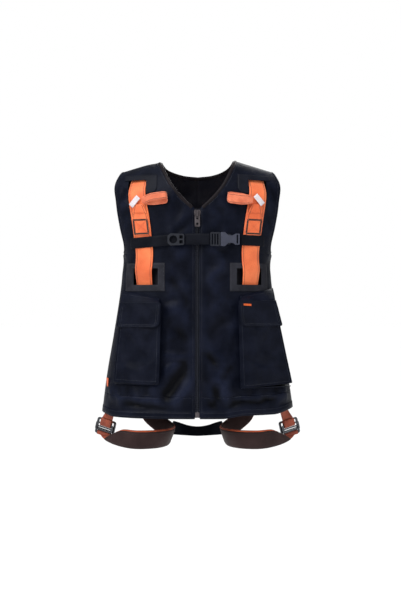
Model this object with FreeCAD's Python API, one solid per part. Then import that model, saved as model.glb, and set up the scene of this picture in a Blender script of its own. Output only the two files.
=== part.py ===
"""A work vest with a full-body safety harness built into it: FreeCAD model, one STEP file per sub-part.

Millimetres. +Z is up, -Y is the wearer's front, +X is the wearer's left.
The origin is between the two neck points of the shoulder line, where a wearer's shoulders carry the vest.
Left and right in the names are the wearer's.
"""
import FreeCAD
import Part

import math
import os

V = FreeCAD.Vector
LEFT, RIGHT = 1, -1
FRONT, BACK = -1, 1
SIDES = ((LEFT, "left"), (RIGHT, "right"))

# ---- the vest's own driving sizes ----
HEM_Z = -650.0              # hem below the neck points
NECK_X = 95.0               # neck point, either side of the middle
SHOULDER_SLOPE = 0.30       # fall of the shoulder line per unit of width
DOME_DROP = 110.0           # height over which chest and back round in to the shoulder line
RIDGE_Y = 8.0               # the shoulder line lies this far behind the middle
SQUARENESS = 2.5            # exponent of the superellipse that the body section follows
CLOTH = 3.0                 # thickness of a quilted vest panel
SEAM_GAP = 0.2              # half the gap between front and back panels
ARMHOLE_TOP_SHARE = 0.90    # the armhole edge, as a share of the half width
ARMHOLE_BEND_Z = -150.0     # below this the armhole edge rounds in to the side seam
ARMHOLE_BOTTOM_Z = -242.0

# half width of the body at heights below the neck points
HALF_WIDTHS = ((0, 200), (-31, 218), (-75, 235), (-125, 232), (-177, 221), (-225, 202), (-255, 193),
               (-295, 192), (-350, 198), (-450, 214), (-550, 231), (-650, 243))
BACK_DEPTHS = ((0, 92), (-150, 108), (-250, 104), (-350, 98), (-450, 102), (-550, 112), (-650, 120))
FRONT_DEPTH = 112.7         # depth of the chest at the neck points' height
FRONT_LEAN = 0.0395         # the front edge runs straight and leans out this much per unit of drop

# ---- neckline ----
V_NECK = ((0, NECK_X), (-67, 65.6), (-102, 39.3), (-133, 7.0))
BACK_NECK = ((0, NECK_X), (-10, 85.0), (-20, 66.0), (-27, 42.0), (-31, 0.0))
ZIP_TOP_Z = -133.0
ZIP_BOTTOM_Z = -648.0
FRONT_EDGE_X = 7.0          # front panel edge, either side of the zip

# ---- webbing ----
WEB = 45.0                  # shoulder, hip and leg webbing width
WEB_THICK = 2.0
CHEST_WEB = 26.0
CHEST_WEB_THICK = 1.4
CHEST_Z = -209.0
ON_CHEST = 5.6              # shoulder webbing rides this far off the torso surface
PATCH_OFF = 0.7             # gap between a panel and a patch sewn on it
PATCH_THICK = 1.0

# ---- openings in the panels ----
SLOT_X = (121.0, 176.0)
SLOT_Z = (-90.0, -57.0)
WINDOW_X = (98.0, 160.0)
WINDOW_Z = (-321.0, -280.0)
WINDOW_PATCH_X = (80.0, 178.0)
WINDOW_PATCH_Z = (-337.0, -267.0)
DORSAL_HALF_X = 48.0
DORSAL_Z = (-222.0, -128.0)

REACH = 400.0               # longer than anything that a cutting block has to cross


# ======================================================================== general helpers
def through(z, stations):
    """A smooth value at height z through (height, value) stations, listed from the top down."""
    if z >= stations[0][0]:
        return stations[0][1]
    if z <= stations[-1][0]:
        return stations[-1][1]
    i = max(k for k in range(len(stations) - 1) if stations[k][0] >= z)
    (z0, v0), (z1, v1) = stations[i], stations[i + 1]
    before, after = stations[max(i - 1, 0)], stations[min(i + 2, len(stations) - 1)]
    slope0 = (v1 - before[1]) / (z1 - before[0])
    slope1 = (after[1] - v0) / (after[0] - z0)
    t, span = (z - z0) / (z1 - z0), z1 - z0
    return ((2 * t**3 - 3 * t**2 + 1) * v0 + (t**3 - 2 * t**2 + t) * span * slope0
            + (-2 * t**3 + 3 * t**2) * v1 + (t**3 - t**2) * span * slope1)


def save(name, *solids):
    """Writes one node. A node may be a group of separate solids."""
    flat = []
    for shape in solids:
        flat.extend(shape.Solids)
    for solid in flat:
        if not solid.isValid() or solid.Volume <= 0:
            print("BAD SOLID in", name, solid.isValid(), round(solid.Volume, 1))
    shape = flat[0] if len(flat) == 1 else Part.makeCompound(flat)
    shape.exportStep(os.path.join("parts", name + ".step"))
    print(f"{name:26s} {len(flat)} solid(s)  {sum(s.Volume for s in flat) / 1000:8.2f} cm3")
    return shape


def curve(points, smooth):
    """The edges through a row of points: one spline, or straight pieces."""
    if smooth and len(points) > 2:
        spline = Part.BSplineCurve()
        spline.interpolate(points)
        return [spline.toShape()]
    return [Part.LineSegment(a, b).toShape() for a, b in zip(points, points[1:])]


def normals(grid, inside):
    """Unit normals of a grid of points, pointing away from the point called inside."""
    rows, cols = len(grid), len(grid[0])
    found = []
    for i in range(rows):
        row = []
        for j in range(cols):
            along = grid[i][min(j + 1, cols - 1)] - grid[i][max(j - 1, 0)]
            across = grid[min(i + 1, rows - 1)][j] - grid[max(i - 1, 0)][j]
            row.append(along.cross(across).normalize())
        found.append(row)
    centre_i, centre_j = rows // 2, cols // 2
    away = grid[centre_i][centre_j] - inside
    if found[centre_i][centre_j].dot(away) < 0:
        found = [[-n for n in row] for row in found]
    return found


def solid_between(outer, inner, smooth):
    """A closed solid between two grids of points that have the same shape."""
    outer_edges = [curve(row, smooth) for row in outer]
    inner_edges = [curve(row, smooth) for row in inner]
    faces = []
    for i in range(len(outer) - 1):
        for edges in (outer_edges, inner_edges):
            faces += [Part.makeRuledSurface(a, b, 1) for a, b in zip(edges[i], edges[i + 1])]
        for j in (0, -1):
            faces.append(Part.makeRuledSurface(
                Part.LineSegment(outer[i][j], outer[i + 1][j]).toShape(),
                Part.LineSegment(inner[i][j], inner[i + 1][j]).toShape(), 1))
    for i in (0, -1):
        faces += [Part.makeRuledSurface(a, b, 1) for a, b in zip(outer_edges[i], inner_edges[i])]
    shell = Part.Shell(faces)
    shell.sewShape()
    solid = Part.Solid(shell)
    if solid.Volume < 0:
        solid.reverse()
    return solid


def as_list(value, count):
    return list(value) if isinstance(value, (list, tuple)) else [value] * count


def sheet(grid, low, high, smooth=True, inside=V(0, 0, -400)):
    """A thick sheet: the grid of points pushed out along its normals to low and to high.

    Low and high are one number, or a list of numbers along a row.
    """
    cols = len(grid[0])
    lows, highs = as_list(low, cols), as_list(high, cols)
    n = normals(grid, inside)
    outer = [[p + n[i][j] * highs[j] for j, p in enumerate(row)] for i, row in enumerate(grid)]
    inner = [[p + n[i][j] * lows[j] for j, p in enumerate(row)] for i, row in enumerate(grid)]
    return solid_between(outer, inner, smooth)


def block(x, y, z):
    """A box between pairs of bounds."""
    low = V(min(x), min(y), min(z))
    return Part.makeBox(abs(x[1] - x[0]), abs(y[1] - y[0]), abs(z[1] - z[0]), low)


def mirrored_pair(x, side):
    """A pair of x bounds given for the left side, moved to the side asked for."""
    return tuple(sorted((side * x[0], side * x[1])))


class Frame:
    """A local frame: u and v lie in a piece's plane and n is its normal."""

    def __init__(self, origin, u, v):
        self.origin = V(*origin)
        self.u = V(*u).normalize()
        v = V(*v)
        self.v = (v - self.u * v.dot(self.u)).normalize()
        self.n = self.u.cross(self.v)

    def at(self, u, v, n=0.0):
        return self.origin + self.u * u + self.v * v + self.n * n

    def rounded(self, corners, radius):
        """A closed wire through corners in (u, v), each rounded by an arc of the radius given."""
        points = [self.at(*c) for c in corners]
        edges, ends = [], []
        count = len(points)
        for i, corner in enumerate(points):
            before, after = points[i - 1] - corner, points[(i + 1) % count] - corner
            a, b = V(before).normalize(), V(after).normalize()
            half = math.acos(max(-1.0, min(1.0, a.dot(b)))) / 2
            reach = min(radius / math.tan(half), 0.45 * before.Length, 0.45 * after.Length)
            r = reach * math.tan(half)
            start, end = corner + a * reach, corner + b * reach
            middle = corner + (a + b).normalize() * (r / math.sin(half) - r)
            edges.append(Part.Arc(start, middle, end).toShape())
            ends.append((start, end))
        for i in range(count):
            start, end = ends[i][1], ends[(i + 1) % count][0]
            edges.append(Part.LineSegment(start, end).toShape())
        return Part.Wire(Part.__sortEdges__(edges))

    def plate(self, corners, low, high, radius=1.5, holes=()):
        """A plate with rounded corners between two heights along n. A hole is its corners and a radius."""
        wires = [self.rounded(corners, radius)]
        wires += [self.rounded(hole, r) for hole, r in holes]
        face = Part.Face(wires[0])
        body = face.extrude(self.n * (high - low))
        for wire in wires[1:]:
            body = body.cut(Part.Face(wire).extrude(self.n * (high - low)))
        body.translate(self.n * low)
        return body

    def box(self, u, v, n):
        """A plain block between bounds in the local frame."""
        corners = [self.at(u[0], v[0], n[0]), self.at(u[1], v[0], n[0]),
                   self.at(u[1], v[1], n[0]), self.at(u[0], v[1], n[0])]
        face = Part.Face(Part.makePolygon(corners + corners[:1]))
        return face.extrude(self.n * (n[1] - n[0]))

    def rod(self, start, end, radius):
        """A round rod between two local points."""
        a, b = self.at(*start), self.at(*end)
        return Part.makeCylinder(radius, (b - a).Length, a, b - a)


def rectangle(u, v):
    return [(u[0], v[0]), (u[1], v[0]), (u[1], v[1]), (u[0], v[1])]


# ======================================================================== the body surface
def half_width(z):
    return through(z, HALF_WIDTHS)


def depth(z, face):
    return through(z, BACK_DEPTHS) if face == BACK else FRONT_DEPTH - FRONT_LEAN * z


def shoulder_line(x):
    """Height of the shoulder line, which falls from the neck point to the shoulder tip."""
    return -SHOULDER_SLOPE * (abs(x) - NECK_X)


def torso(x, z, face):
    """The point of the body surface, front or back, at this width and height."""
    drop = shoulder_line(x) - z
    dome = math.sqrt(max(0.0, 1 - (1 - min(max(drop, 0) / DOME_DROP, 1)) ** 2))
    share = min(abs(x) / half_width(z), 1.0)
    out = depth(z, face) * (1 - share**SQUARENESS) ** (1 / SQUARENESS)
    return V(x, RIDGE_Y + (face * out - RIDGE_Y) * dome + face * SEAM_GAP, z)


def body_normal(x, z, face):
    """The unit normal of the body surface, pointing out of the vest."""
    side_step = torso(x + 0.5, z, face) - torso(x - 0.5, z, face)
    down_step = torso(x, z - 0.5, face) - torso(x, z + 0.5, face)
    n = side_step.cross(down_step).normalize()
    return n if n.y * face > 0 else -n


def off_body(x, z, face, distance):
    return torso(x, z, face) + body_normal(x, z, face) * distance


def turned(share):
    """The angle on the superellipse at which the width is this share of the half width."""
    return math.asin(min(share, 1.0) ** (SQUARENESS / 2))


def armhole_share(z):
    if z <= ARMHOLE_BOTTOM_Z:
        return 1.0
    fall = max(0.0, (ARMHOLE_BEND_Z - z) / (ARMHOLE_BEND_Z - ARMHOLE_BOTTOM_Z))
    return ARMHOLE_TOP_SHARE + (1 - ARMHOLE_TOP_SHARE) * (1 - math.sqrt(1 - fall**2))


# ======================================================================== vest panels
def panel_rows():
    """(drop, share of the shoulder slope) of each row of a panel's grid, from the shoulder to the hem."""
    steps = ((0.25, 1), (14, 1), (24, 1), (32, 1), (39, 1), (46, 1), (52, 1),
             (55, 0.85), (58, 0.7), (76, 0.3), (88, 0.12))
    rows = [(DOME_DROP * (1 - math.cos(math.radians(a))), share) for a, share in steps]
    levels = (-ZIP_TOP_Z, 160, 195, 222, 238, -ARMHOLE_BOTTOM_Z, 275, 320, 380, 440, 500, 560, 610, -HEM_Z)
    return rows + [(level, 0.0) for level in levels]


def row_point(inner_x, t, drop, slope_share, side, face):
    """A point on a panel's row: t runs from the inner edge at 0 to the armhole or side seam at 1."""
    z = -drop
    for _ in range(6):
        width = half_width(z)
        inner = turned(inner_x(z) / width)
        angle = inner + t * (turned(armhole_share(z)) - inner)
        x = width * math.sin(angle) ** (2 / SQUARENESS)
        z = slope_share * shoulder_line(x) - drop
    return torso(side * x, z, face)


def front_inner_x(z):
    return max(through(z, V_NECK), FRONT_EDGE_X)


def back_inner_x(z):
    return 0.01 if z < BACK_NECK[-1][0] else max(through(z, BACK_NECK), 0.01)


def panel_grid(side, face, columns=11):
    inner_x = front_inner_x if face == FRONT else back_inner_x
    rows = panel_rows()
    if face == BACK:
        rows = [r for r in rows if r[0] != -ZIP_TOP_Z]
    return [[row_point(inner_x, j / (columns - 1), drop, share, side, face) for j in range(columns)]
            for drop, share in rows]


def front_panel(side):
    panel = sheet(panel_grid(side, FRONT), 0.0, CLOTH)
    for x, z in ((SLOT_X, SLOT_Z), (WINDOW_X, WINDOW_Z)):
        panel = panel.cut(block(mirrored_pair(x, side), (-REACH, 0), z))
    return panel


def back_panel():
    """Two halves of one cloth, joined at the middle of the back, with the opening for the ring."""
    halves = [sheet(panel_grid(side, BACK), 0.0, CLOTH) for side, _ in SIDES]
    opening = block((-DORSAL_HALF_X, DORSAL_HALF_X), (0, REACH), DORSAL_Z)
    return [half.cut(opening) for half in halves]


def surface_patch(x, z, face, columns=7, rows=6):
    """A rectangular piece of cloth sewn on the outside of a panel."""
    xs = [x[0] + (x[1] - x[0]) * j / (columns - 1) for j in range(columns)]
    zs = [z[0] + (z[1] - z[0]) * i / (rows - 1) for i in range(rows)]
    low = CLOTH + PATCH_OFF
    return sheet([[torso(px, pz, face) for px in xs] for pz in zs], low, low + PATCH_THICK)


def window_patch(side):
    """The reinforcement frame sewn round the opening where the shoulder webbing goes in."""
    patch = surface_patch(mirrored_pair(WINDOW_PATCH_X, side), WINDOW_PATCH_Z, FRONT)
    return patch.cut(block(mirrored_pair(WINDOW_X, side), (-REACH, 0), WINDOW_Z))


def shoulder_patch(side):
    """The yoke patch whose lower edge covers the top of the shoulder webbing, with a step down beside it."""
    patch = surface_patch(mirrored_pair((100, 182), side), (-88, -46), FRONT)
    notch = block(mirrored_pair((SLOT_X[0] - 1, 190), side), (-REACH, 0), (-95, SLOT_Z[1]))
    return patch.cut(notch)


def dorsal_patch():
    """The reinforcement frame round the opening in the back."""
    border = 20.0
    z = (DORSAL_Z[0] - border, DORSAL_Z[1] + border)
    half = DORSAL_HALF_X + border
    patch = surface_patch((-half, half), z, BACK)
    return patch.cut(block((-DORSAL_HALF_X, DORSAL_HALF_X), (0, REACH), DORSAL_Z))


def armhole_facing(side):
    """Facing strips inside the armhole's front and back edges."""
    strips = []
    for face in (FRONT, BACK):
        inner_x = front_inner_x if face == FRONT else back_inner_x
        rows = [r for r in panel_rows() if r[0] < 238]
        grid = [[row_point(inner_x, t, drop, share, side, face) for t in (0.86, 0.93, 0.99)]
                for drop, share in rows]
        strips.append(sheet(grid, -1.7, -0.7))
    return strips


def neck_facing():
    """Facing strips inside the V of the front and round the back of the neck."""
    strips = []
    for side, _ in SIDES:
        front_rows = [r for r in panel_rows() if r[0] < -ZIP_TOP_Z]
        back_rows = panel_rows()[:7]
        for face, rows, inner_x in ((FRONT, front_rows, front_inner_x), (BACK, back_rows, back_inner_x)):
            grid = [[row_point(inner_x, t, drop, share, side, face) for t in (0.01, 0.10, 0.19)]
                    for drop, share in rows]
            strips.append(sheet(grid, -1.7, -0.7))
    return strips


# ======================================================================== zip
ZIP_AXIS = V(0, -FRONT_LEAN, -1).normalize()
ZIP_OUT = V(0, -1, FRONT_LEAN).normalize()


def zip_frame(z):
    """Local frame on the zip's line: u across, v up the zip, n out of the vest."""
    origin = torso(0, z, FRONT)
    return Frame(origin, (1, 0, 0), -ZIP_AXIS)


def zip_tape(side):
    top, bottom = zip_frame(ZIP_TOP_Z), zip_frame(ZIP_BOTTOM_Z)
    length = (top.origin - bottom.origin).Length
    return bottom.box(mirrored_pair((3.0, 20.0), side), (0, length), (-1.2, -0.4))


TOOTH_PITCH, TOOTH_LENGTH, TOOTH_ROWS = 8.0, 6.6, 58
FIRST_TOOTH = 16.0          # the first row of teeth starts this far above the bottom of the zip


def zip_teeth(side):
    """One half of the coil, as the rows of teeth that it is."""
    bottom = zip_frame(ZIP_BOTTOM_Z)
    across = mirrored_pair((0.25, 3.4), side)
    starts = [FIRST_TOOTH + k * TOOTH_PITCH for k in range(TOOTH_ROWS)]
    return [bottom.box(across, (start, start + TOOTH_LENGTH), (-0.3, 1.9)) for start in starts]


SLIDER_LENGTH = 20.0
SLIDER_TOP = 3.5            # the slider's top plate lies this far off the torso surface, clear of the panels
PULL_PIVOT = (6.0, 7.8)     # the pull's hinge, along v from the slider's middle and along n


def slider_frame():
    return zip_frame(ZIP_TOP_Z - SLIDER_LENGTH / 2 - 3)


def zip_slider():
    f, half = slider_frame(), SLIDER_LENGTH / 2
    outline = [(-5.5, -half), (5.5, -half), (8.5, half - 4), (7.0, half), (-7.0, half), (-8.5, half - 4)]
    under = [(-5.0, -half), (5.0, -half), (6.3, half - 4), (5.5, half), (-5.5, half), (-6.3, half - 4)]
    top = f.plate(outline, SLIDER_TOP, SLIDER_TOP + 1.8, 2.0)
    bottom = f.plate(under, -3.2, -1.5, 2.0)
    spread = [(-1.0, half - 8), (1.0, half - 8), (2.2, half - 1), (-2.2, half - 1)]
    wedge = f.plate(spread, -1.6, SLIDER_TOP + 0.1, 0.5)
    v, n = PULL_PIVOT
    posts = [f.box(u, (v - 2.5, v + 2.5), (SLIDER_TOP + 1.7, n + 2.0))
             for u in ((-4.4, -2.9), (2.9, 4.4))]
    pin = f.rod((-4.0, v, n), (4.0, v, n), 0.9)
    return top.fuse([bottom, wedge, pin] + posts)


def zip_pull():
    """The pull tab: a narrow neck with an eye round the slider's pin, and a wide grip with two holes."""
    f = slider_frame()
    v, n = PULL_PIVOT
    neck = f.plate(rectangle((-2.4, 2.4), (v - 12.0, v + 1.7)), n - 1.35, n + 1.35, 1.0)
    eye = f.rod((-3.0, v, n), (3.0, v, n), 0.97)
    holes = [(rectangle((-2.6, 2.6), (v + low, v + high)), 1.6)
             for low, high in ((-20.0, -15.0), (-34.0, -28.0))]
    grip = f.plate(rectangle((-6.6, 6.6), (v - 38.0, v - 11.0)), n - 0.9, n + 0.9, 2.5, holes)
    return neck.cut(eye).fuse(grip)


def zip_box():
    """The retainer that holds the two halves together at the hem."""
    f = zip_frame(ZIP_BOTTOM_Z)
    return f.plate(rectangle((-5.0, 5.0), (0.5, 13.0)), -0.3, 2.6, 1.5)


# ======================================================================== pockets
POCKET_CLOTH = 1.8
# Each pocket: where the face's upper inner corner is, how far the face turns back, its width at the top and
# at the bottom, and its height.
POCKETS = {
    "left": {"side": LEFT, "corner": (103.0, -143.0, -362.0), "turn": 27.0,
             "top": 118.0, "bottom": 146.0, "height": 212.0},
    "right": {"side": RIGHT, "corner": (-91.0, -145.0, -368.0), "turn": 26.0,
              "top": 122.0, "bottom": 126.0, "height": 197.0},
}
FLAP_DROP = 50.0
FLAP_GAP = 1.5
POCKET_MOUTH = 9.0          # the bag's front stops this far below the flap's hinge


def pocket_frame(pocket):
    """u runs outwards along the face, v runs down it, and n points out of the vest."""
    turn = math.radians(pocket["turn"])
    u = V(pocket["side"] * math.cos(turn), math.sin(turn), 0)
    down = V(0, -0.06, -1)
    f = Frame(pocket["corner"], u, down)
    if f.n.y > 0:
        f.n = -f.n
    return f


def pocket_width(pocket, v):
    return pocket["top"] + (pocket["bottom"] - pocket["top"]) * v / pocket["height"]


def root(point, drawn_in, off=CLOTH + 1.2):
    """Where a gusset from this point of a pocket's face meets the front panel."""
    x = min(abs(point.x) - drawn_in, 0.96 * half_width(point.z))
    return off_body(math.copysign(x, point.x), point.z, FRONT, off)


def pocket_bag(pocket):
    """The face and its two side gussets in one piece, and the bottom gusset. The top is the mouth."""
    f = pocket_frame(pocket)
    levels = [POCKET_MOUTH, 60, 110, 160, pocket["height"]]
    rows = []
    for v in levels:
        w = pocket_width(pocket, v)
        inner, outer = f.at(0, v), f.at(w, v)
        rows.append([root(inner, -2), inner, f.at(w / 3, v), f.at(2 * w / 3, v), outer, root(outer, 6)])
    middle = f.at(pocket_width(pocket, 100) / 2, 100, -20)
    walls = sheet(rows, 0.0, POCKET_CLOTH, smooth=False, inside=middle)
    v = pocket["height"] - 0.6
    w = pocket_width(pocket, v)
    inset = 2.2
    face = [f.at(inset + (w - 2 * inset) * k / 8, v, -0.6) for k in range(9)]
    back = [root(p, 3) for p in face]
    floor = sheet([face, back], 0.0, POCKET_CLOTH, smooth=False, inside=f.at(w / 2, v + 60, 0))
    return [walls, floor]


def flap_frame(pocket):
    """The flap's hinge runs along u at v = 0 of this frame, in front of the bag's face."""
    f = pocket_frame(pocket)
    f.origin = f.at(0, 0, POCKET_CLOTH + FLAP_GAP + 1.2)
    return f


def pocket_flap(pocket):
    f = flap_frame(pocket)
    w = pocket["top"] + 6
    corners = [(-3, 2.0), (w, 2.0), (w + 2, FLAP_DROP), (-3, FLAP_DROP)]
    return f.plate(corners, -1.2, 1.2, 9.0)


def flap_seam(pocket):
    """The strip that sews the flap's top to the vest: it lies on the vest above the hinge."""
    f = flap_frame(pocket)
    w = pocket["top"] + 2
    line = [f.at(w * k / 4, -1.0, 0) for k in range(5)]
    upper = [root(p + V(0, 0, 12), 0, CLOTH + 1.6) for p in line]
    return sheet([upper, line], -1.0, 0.4, smooth=True)


def pocket_tab():
    """A plain woven tab on the left pocket's flap."""
    f = flap_frame(POCKETS["left"])
    return f.plate(rectangle((8, 29), (10.0, 15.0)), 1.3, 1.9, 0.6)


def side_tab():
    """A plain folded tab in the right side seam."""
    x = -half_width(-567) - 7.0
    f = Frame((x, -2, -567), (-0.6, -0.8, 0), (0, 0, 1))
    return f.plate([(-4, -7), (4, -2), (5, 7), (-4, 7)], -0.7, 0.7, 1.0)


# ======================================================================== harness webbing
def web_on_body(stations, width, low_offsets, thick, rows=4):
    """Webbing along stations of (x, z, face) on the body surface.

    Low_offsets say how far off the surface the webbing's inner face lies at each station.
    """
    centre = [torso(x, z, face) for x, z, face in stations]
    last = len(centre) - 1
    tangents = [(centre[min(i + 1, last)] - centre[max(i - 1, 0)]).normalize() for i in range(last + 1)]
    grid = []
    for k in range(rows):
        shift = width * (k / (rows - 1) - 0.5)
        row = []
        for (x, z, face), p, t in zip(stations, centre, tangents):
            near = torso(x + 0.5, z, face) - torso(x - 0.5, z, face)
            across = (near - t * near.dot(t)).normalize()
            moved = p + across * shift
            row.append(torso(moved.x, min(moved.z, shoulder_line(moved.x) - 0.6), face))
        grid.append(row)
    return sheet(grid, low_offsets, [o + thick for o in low_offsets])


def shoulder_web(side):
    """From the adjuster in the window, up the chest, in at the shoulder slot and over the shoulder."""
    route = ((134, -334, -6.5), (134, -320, -5.2), (133, -303, 0.0), (131.5, -284, ON_CHEST),
             (129.5, -262, ON_CHEST), (129.5, -236, ON_CHEST), (133, -206, ON_CHEST),
             (139, -161, ON_CHEST), (146, -118, ON_CHEST),
             (148.5, -100, 5.2), (149.5, -88, 3.8), (149.5, -72, -1.0), (149, -58, -4.4), (147.5, -40, -5.6),
             (146.8, -26, -7.0), (146.5, -18.5, -8.2), (146.5, -16.2, -8.2))
    stations = [(side * x, z, FRONT) for x, z, _ in route]
    return web_on_body(stations, WEB, [o for _, _, o in route], WEB_THICK)


def back_web(side):
    """From the shoulder line down to the ring plate, across the middle of the back and to the other hip."""
    layer = -5.0 if side == LEFT else -8.6
    route = ((146.5, -16.2), (146.4, -18.5), (146, -26), (144, -38), (137, -64), (121, -98),
             (92, -132), (50, -160), (0, -181), (-42, -206), (-80, -245), (-106, -300),
             (-122, -370), (-132, -450), (-139, -530), (-143, -575))
    offsets = [-8.2, -8.2, -7.4, -6.4] + [layer] * (len(route) - 4)
    stations = [(side * x, z, BACK) for x, z in route]
    return web_on_body(stations, WEB, offsets, WEB_THICK)


def adjuster(side):
    """The slotted steel bar buckle inside the window, which joins the shoulder webbing to the hip webbing."""
    centre = torso(side * 134, -348, FRONT)
    right = torso(side * 134 + 10, -348, FRONT) - torso(side * 134 - 10, -348, FRONT)
    f = Frame(centre, right, (0, 0, 1))
    out = f.n if f.n.y < 0 else -f.n
    f.origin = f.origin + out * -6.0
    slots = [(rectangle((-23.5, 23.5), z), 1.0) for z in ((-8.5, -2.5), (2.5, 8.5))]
    return f.plate(rectangle((-28, 28), (-11, 11)), -1.5, 1.5, 4.0, slots)


def hip_web(side):
    """Inside the vest, from the adjuster down to the hip."""
    route = ((134.5, -365), (139, -385), (155, -430), (179, -480), (202, -530), (217, -575), (221, -600))
    stations = [(side * x, z, FRONT) for x, z in route]
    return web_on_body(stations, WEB * 0.9, [-7.0] * len(route), WEB_THICK, rows=3)


# ---- front attachment loops ----
LOOP_WEB = 31.0
LOOP_AXIS_X, LOOP_AXIS_Z = 141.0, -112.0
LOOP_STANDOFF = 18.5        # the loop's hinge line, off the torso surface
LOOP_LENGTH = 68.0


def loop_frame(side):
    """u runs from the hinge line towards the middle of the chest, v runs up the loop's width."""
    origin = torso(side * LOOP_AXIS_X, LOOP_AXIS_Z, FRONT) + V(0, -LOOP_STANDOFF, 0)
    return Frame(origin, (-side, -0.12, 0.12), (side * 0.12, 0, 1))


def loop_outline():
    """(u, n) points of the loop seen along its width: from the hinge line out, round the end and back."""
    gap, root_u, end_u = 7.0, 4.0, LOOP_LENGTH - 7.0
    going = [(root_u + (end_u - root_u) * k / 8, 1.6 + (gap - 1.6) * math.sin(math.pi / 2 * min(k / 5, 1.0)))
             for k in range(9)]
    angles = [math.radians(a) for a in range(18, 180, 18)]
    turn = [(end_u + gap * math.sin(a), gap * math.cos(a)) for a in angles]
    return [(u, -n) for u, n in going] + [(u, -n) for u, n in turn] + [(u, n) for u, n in reversed(going)]


def front_loop(side):
    """A textile loop: the webbing goes out, turns and comes back, open enough for a connector."""
    f = loop_frame(side)
    out = 1.0 if f.n.y < 0 else -1.0
    rows = []
    for edge in (-0.5, 0.5):
        row = []
        for u, n in loop_outline():
            narrowed = LOOP_WEB * edge * min(1.0, 0.52 + u / 40.0)
            row.append(f.at(u, narrowed, out * n))
        rows.append(row)
    return sheet(rows, -1.8, 0.0, smooth=False, inside=f.at(-200, 0, 0))


# (x, z, width) of the tail's stations, from its square end up to the fold.
LOOP_TAIL = ((134.2, -197, 37), (137.5, -172, 37), (139.5, -152, 36), (141.5, -134, 27), (143, -122, 17))


def loop_tail(side):
    """The loop's sewn end, which lies on the shoulder webbing and narrows to the fold at its top."""
    low = ON_CHEST + WEB_THICK + 0.9
    rows = [[torso(side * (x + k * width), z, FRONT) for x, z, width in LOOP_TAIL]
            for k in (-0.5, -0.17, 0.17, 0.5)]
    return sheet(rows, low, low + 1.6)


def loop_tag(side):
    """A plain white inspection tag held by the fold."""
    low = ON_CHEST + WEB_THICK + 3.2
    centre = torso(side * 157, -114, FRONT)
    right = torso(side * 157 + 5, -114, FRONT) - torso(side * 157 - 5, -114, FRONT)
    base = Frame(centre, right, (0, 0, 1))
    out = 1.0 if base.n.y < 0 else -1.0
    lean = math.radians(-side * 48)
    along = base.u * math.cos(lean) + base.v * math.sin(lean)
    f = Frame(centre + base.n * out * (low + 2.5), along, base.v)
    return f.plate(rectangle((-15, 15), (-6.5, 6.5)), -0.35, 0.35, 0.8)


# ---- chest strap ----
CHEST_SPAN = ((109, -124.5), (96, -127.5), (84, -129.6), (70, -131.4), (50, -133.6), (32, -135.2))


def chest_route(side):
    """Points (x, y) of the chest strap's free span, from the shoulder webbing towards the middle."""
    return [(side * x, y) for x, y in CHEST_SPAN]


CHEST_TILT = {LEFT: 0.02, RIGHT: 0.075}     # the strap's ends hang a little below its middle


def chest_height(x):
    return CHEST_Z - CHEST_TILT[LEFT if x > 0 else RIGHT] * max(abs(x) - 40, 0)


def wrap_points(side, rise):
    """The strap's end goes behind the shoulder webbing, round its outer edge and back over its face."""
    over = ON_CHEST + WEB_THICK + CHEST_WEB_THICK + 1.0
    behind = ((112, CLOTH + 0.6), (125, CLOTH + 0.6), (140, CLOTH + 0.6), (153, CLOTH + 0.7))
    turn = ((160.5, CLOTH + 1.2), (163.0, ON_CHEST + 1.6), (160.5, over))
    front = ((150, over), (135, over), (120, over))
    points = []
    for x, offset in behind + turn + front:
        z = chest_height(side * x) + rise
        p = torso(side * x, z, FRONT)
        e = torso(side * (x + 1), z, FRONT) - torso(side * (x - 1), z, FRONT)
        out = V(e.y, -e.x, 0).normalize()
        out = out if out.y < 0 else -out
        points.append(p + out * offset)
    return points


def chest_web(side, last_x):
    """One end of the chest strap. Its faces are flat between the points."""
    rows = []
    for rise in (-CHEST_WEB / 2, CHEST_WEB / 2):
        span = [V(x, y, chest_height(x) + rise) for x, y in chest_route(side) if abs(x) > last_x - 0.1]
        wrap = wrap_points(side, rise)
        rows.append((wrap[1:] if side == LEFT else wrap) + span)
    return sheet(rows, 0.0, CHEST_WEB_THICK, smooth=False, inside=V(side * 140, -400, CHEST_Z))


def chest_slack():
    """The adjustable length between the web keeper and the ladder of the buckle."""
    points = ((-29.5, -135.0), (-14, -136.2), (2, -136.6), (18, -136.2), (30.5, -135.4))
    rows = [[V(x, y, chest_height(x) + rise) for x, y in points] for rise in (-CHEST_WEB / 2, CHEST_WEB / 2)]
    return sheet(rows, 0.0, CHEST_WEB_THICK, smooth=False, inside=V(0, 0, CHEST_Z))


BUCKLE_TURN = 4.8           # the buckle turns back a little with the chest
BUCKLE_HALF = 17.0          # half its height


def buckle_frame():
    a = math.radians(BUCKLE_TURN)
    return Frame((32, -137.2, CHEST_Z), (math.cos(a), math.sin(a), 0), (0, 0, 1))


def buckle_male():
    """Ladder with three bars and the centre guide that goes into the socket."""
    f, h = buckle_frame(), BUCKLE_HALF
    slots = [(rectangle((u, u + 3.6), (-h + 3.5, h - 3.5)), 0.8) for u in (3.0, 9.6, 16.2)]
    ladder = f.plate(rectangle((0, 24), (-h, h)), -3.2, 3.2, 3.0, slots)
    guide = f.box((23.9, 50), (-2.4, 2.4), (-1.6, 1.6))
    return ladder.fuse(guide)


PRONG_ROOT = (24.6, 9.6)


def buckle_prong(way):
    """One spring arm with its press pad, above (way 1) or below (way -1) the guide."""
    f = buckle_frame()
    u, v = PRONG_ROOT
    outline = ((0, -1.8), (0, 1.8), (16, 2.6), (22, 3.6), (26, 1.5), (27, -1.0), (12, -1.6))
    corners = [(u + along, way * (v + across)) for along, across in outline]
    return f.plate(corners, -2.2, 2.2, 0.7)


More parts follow.
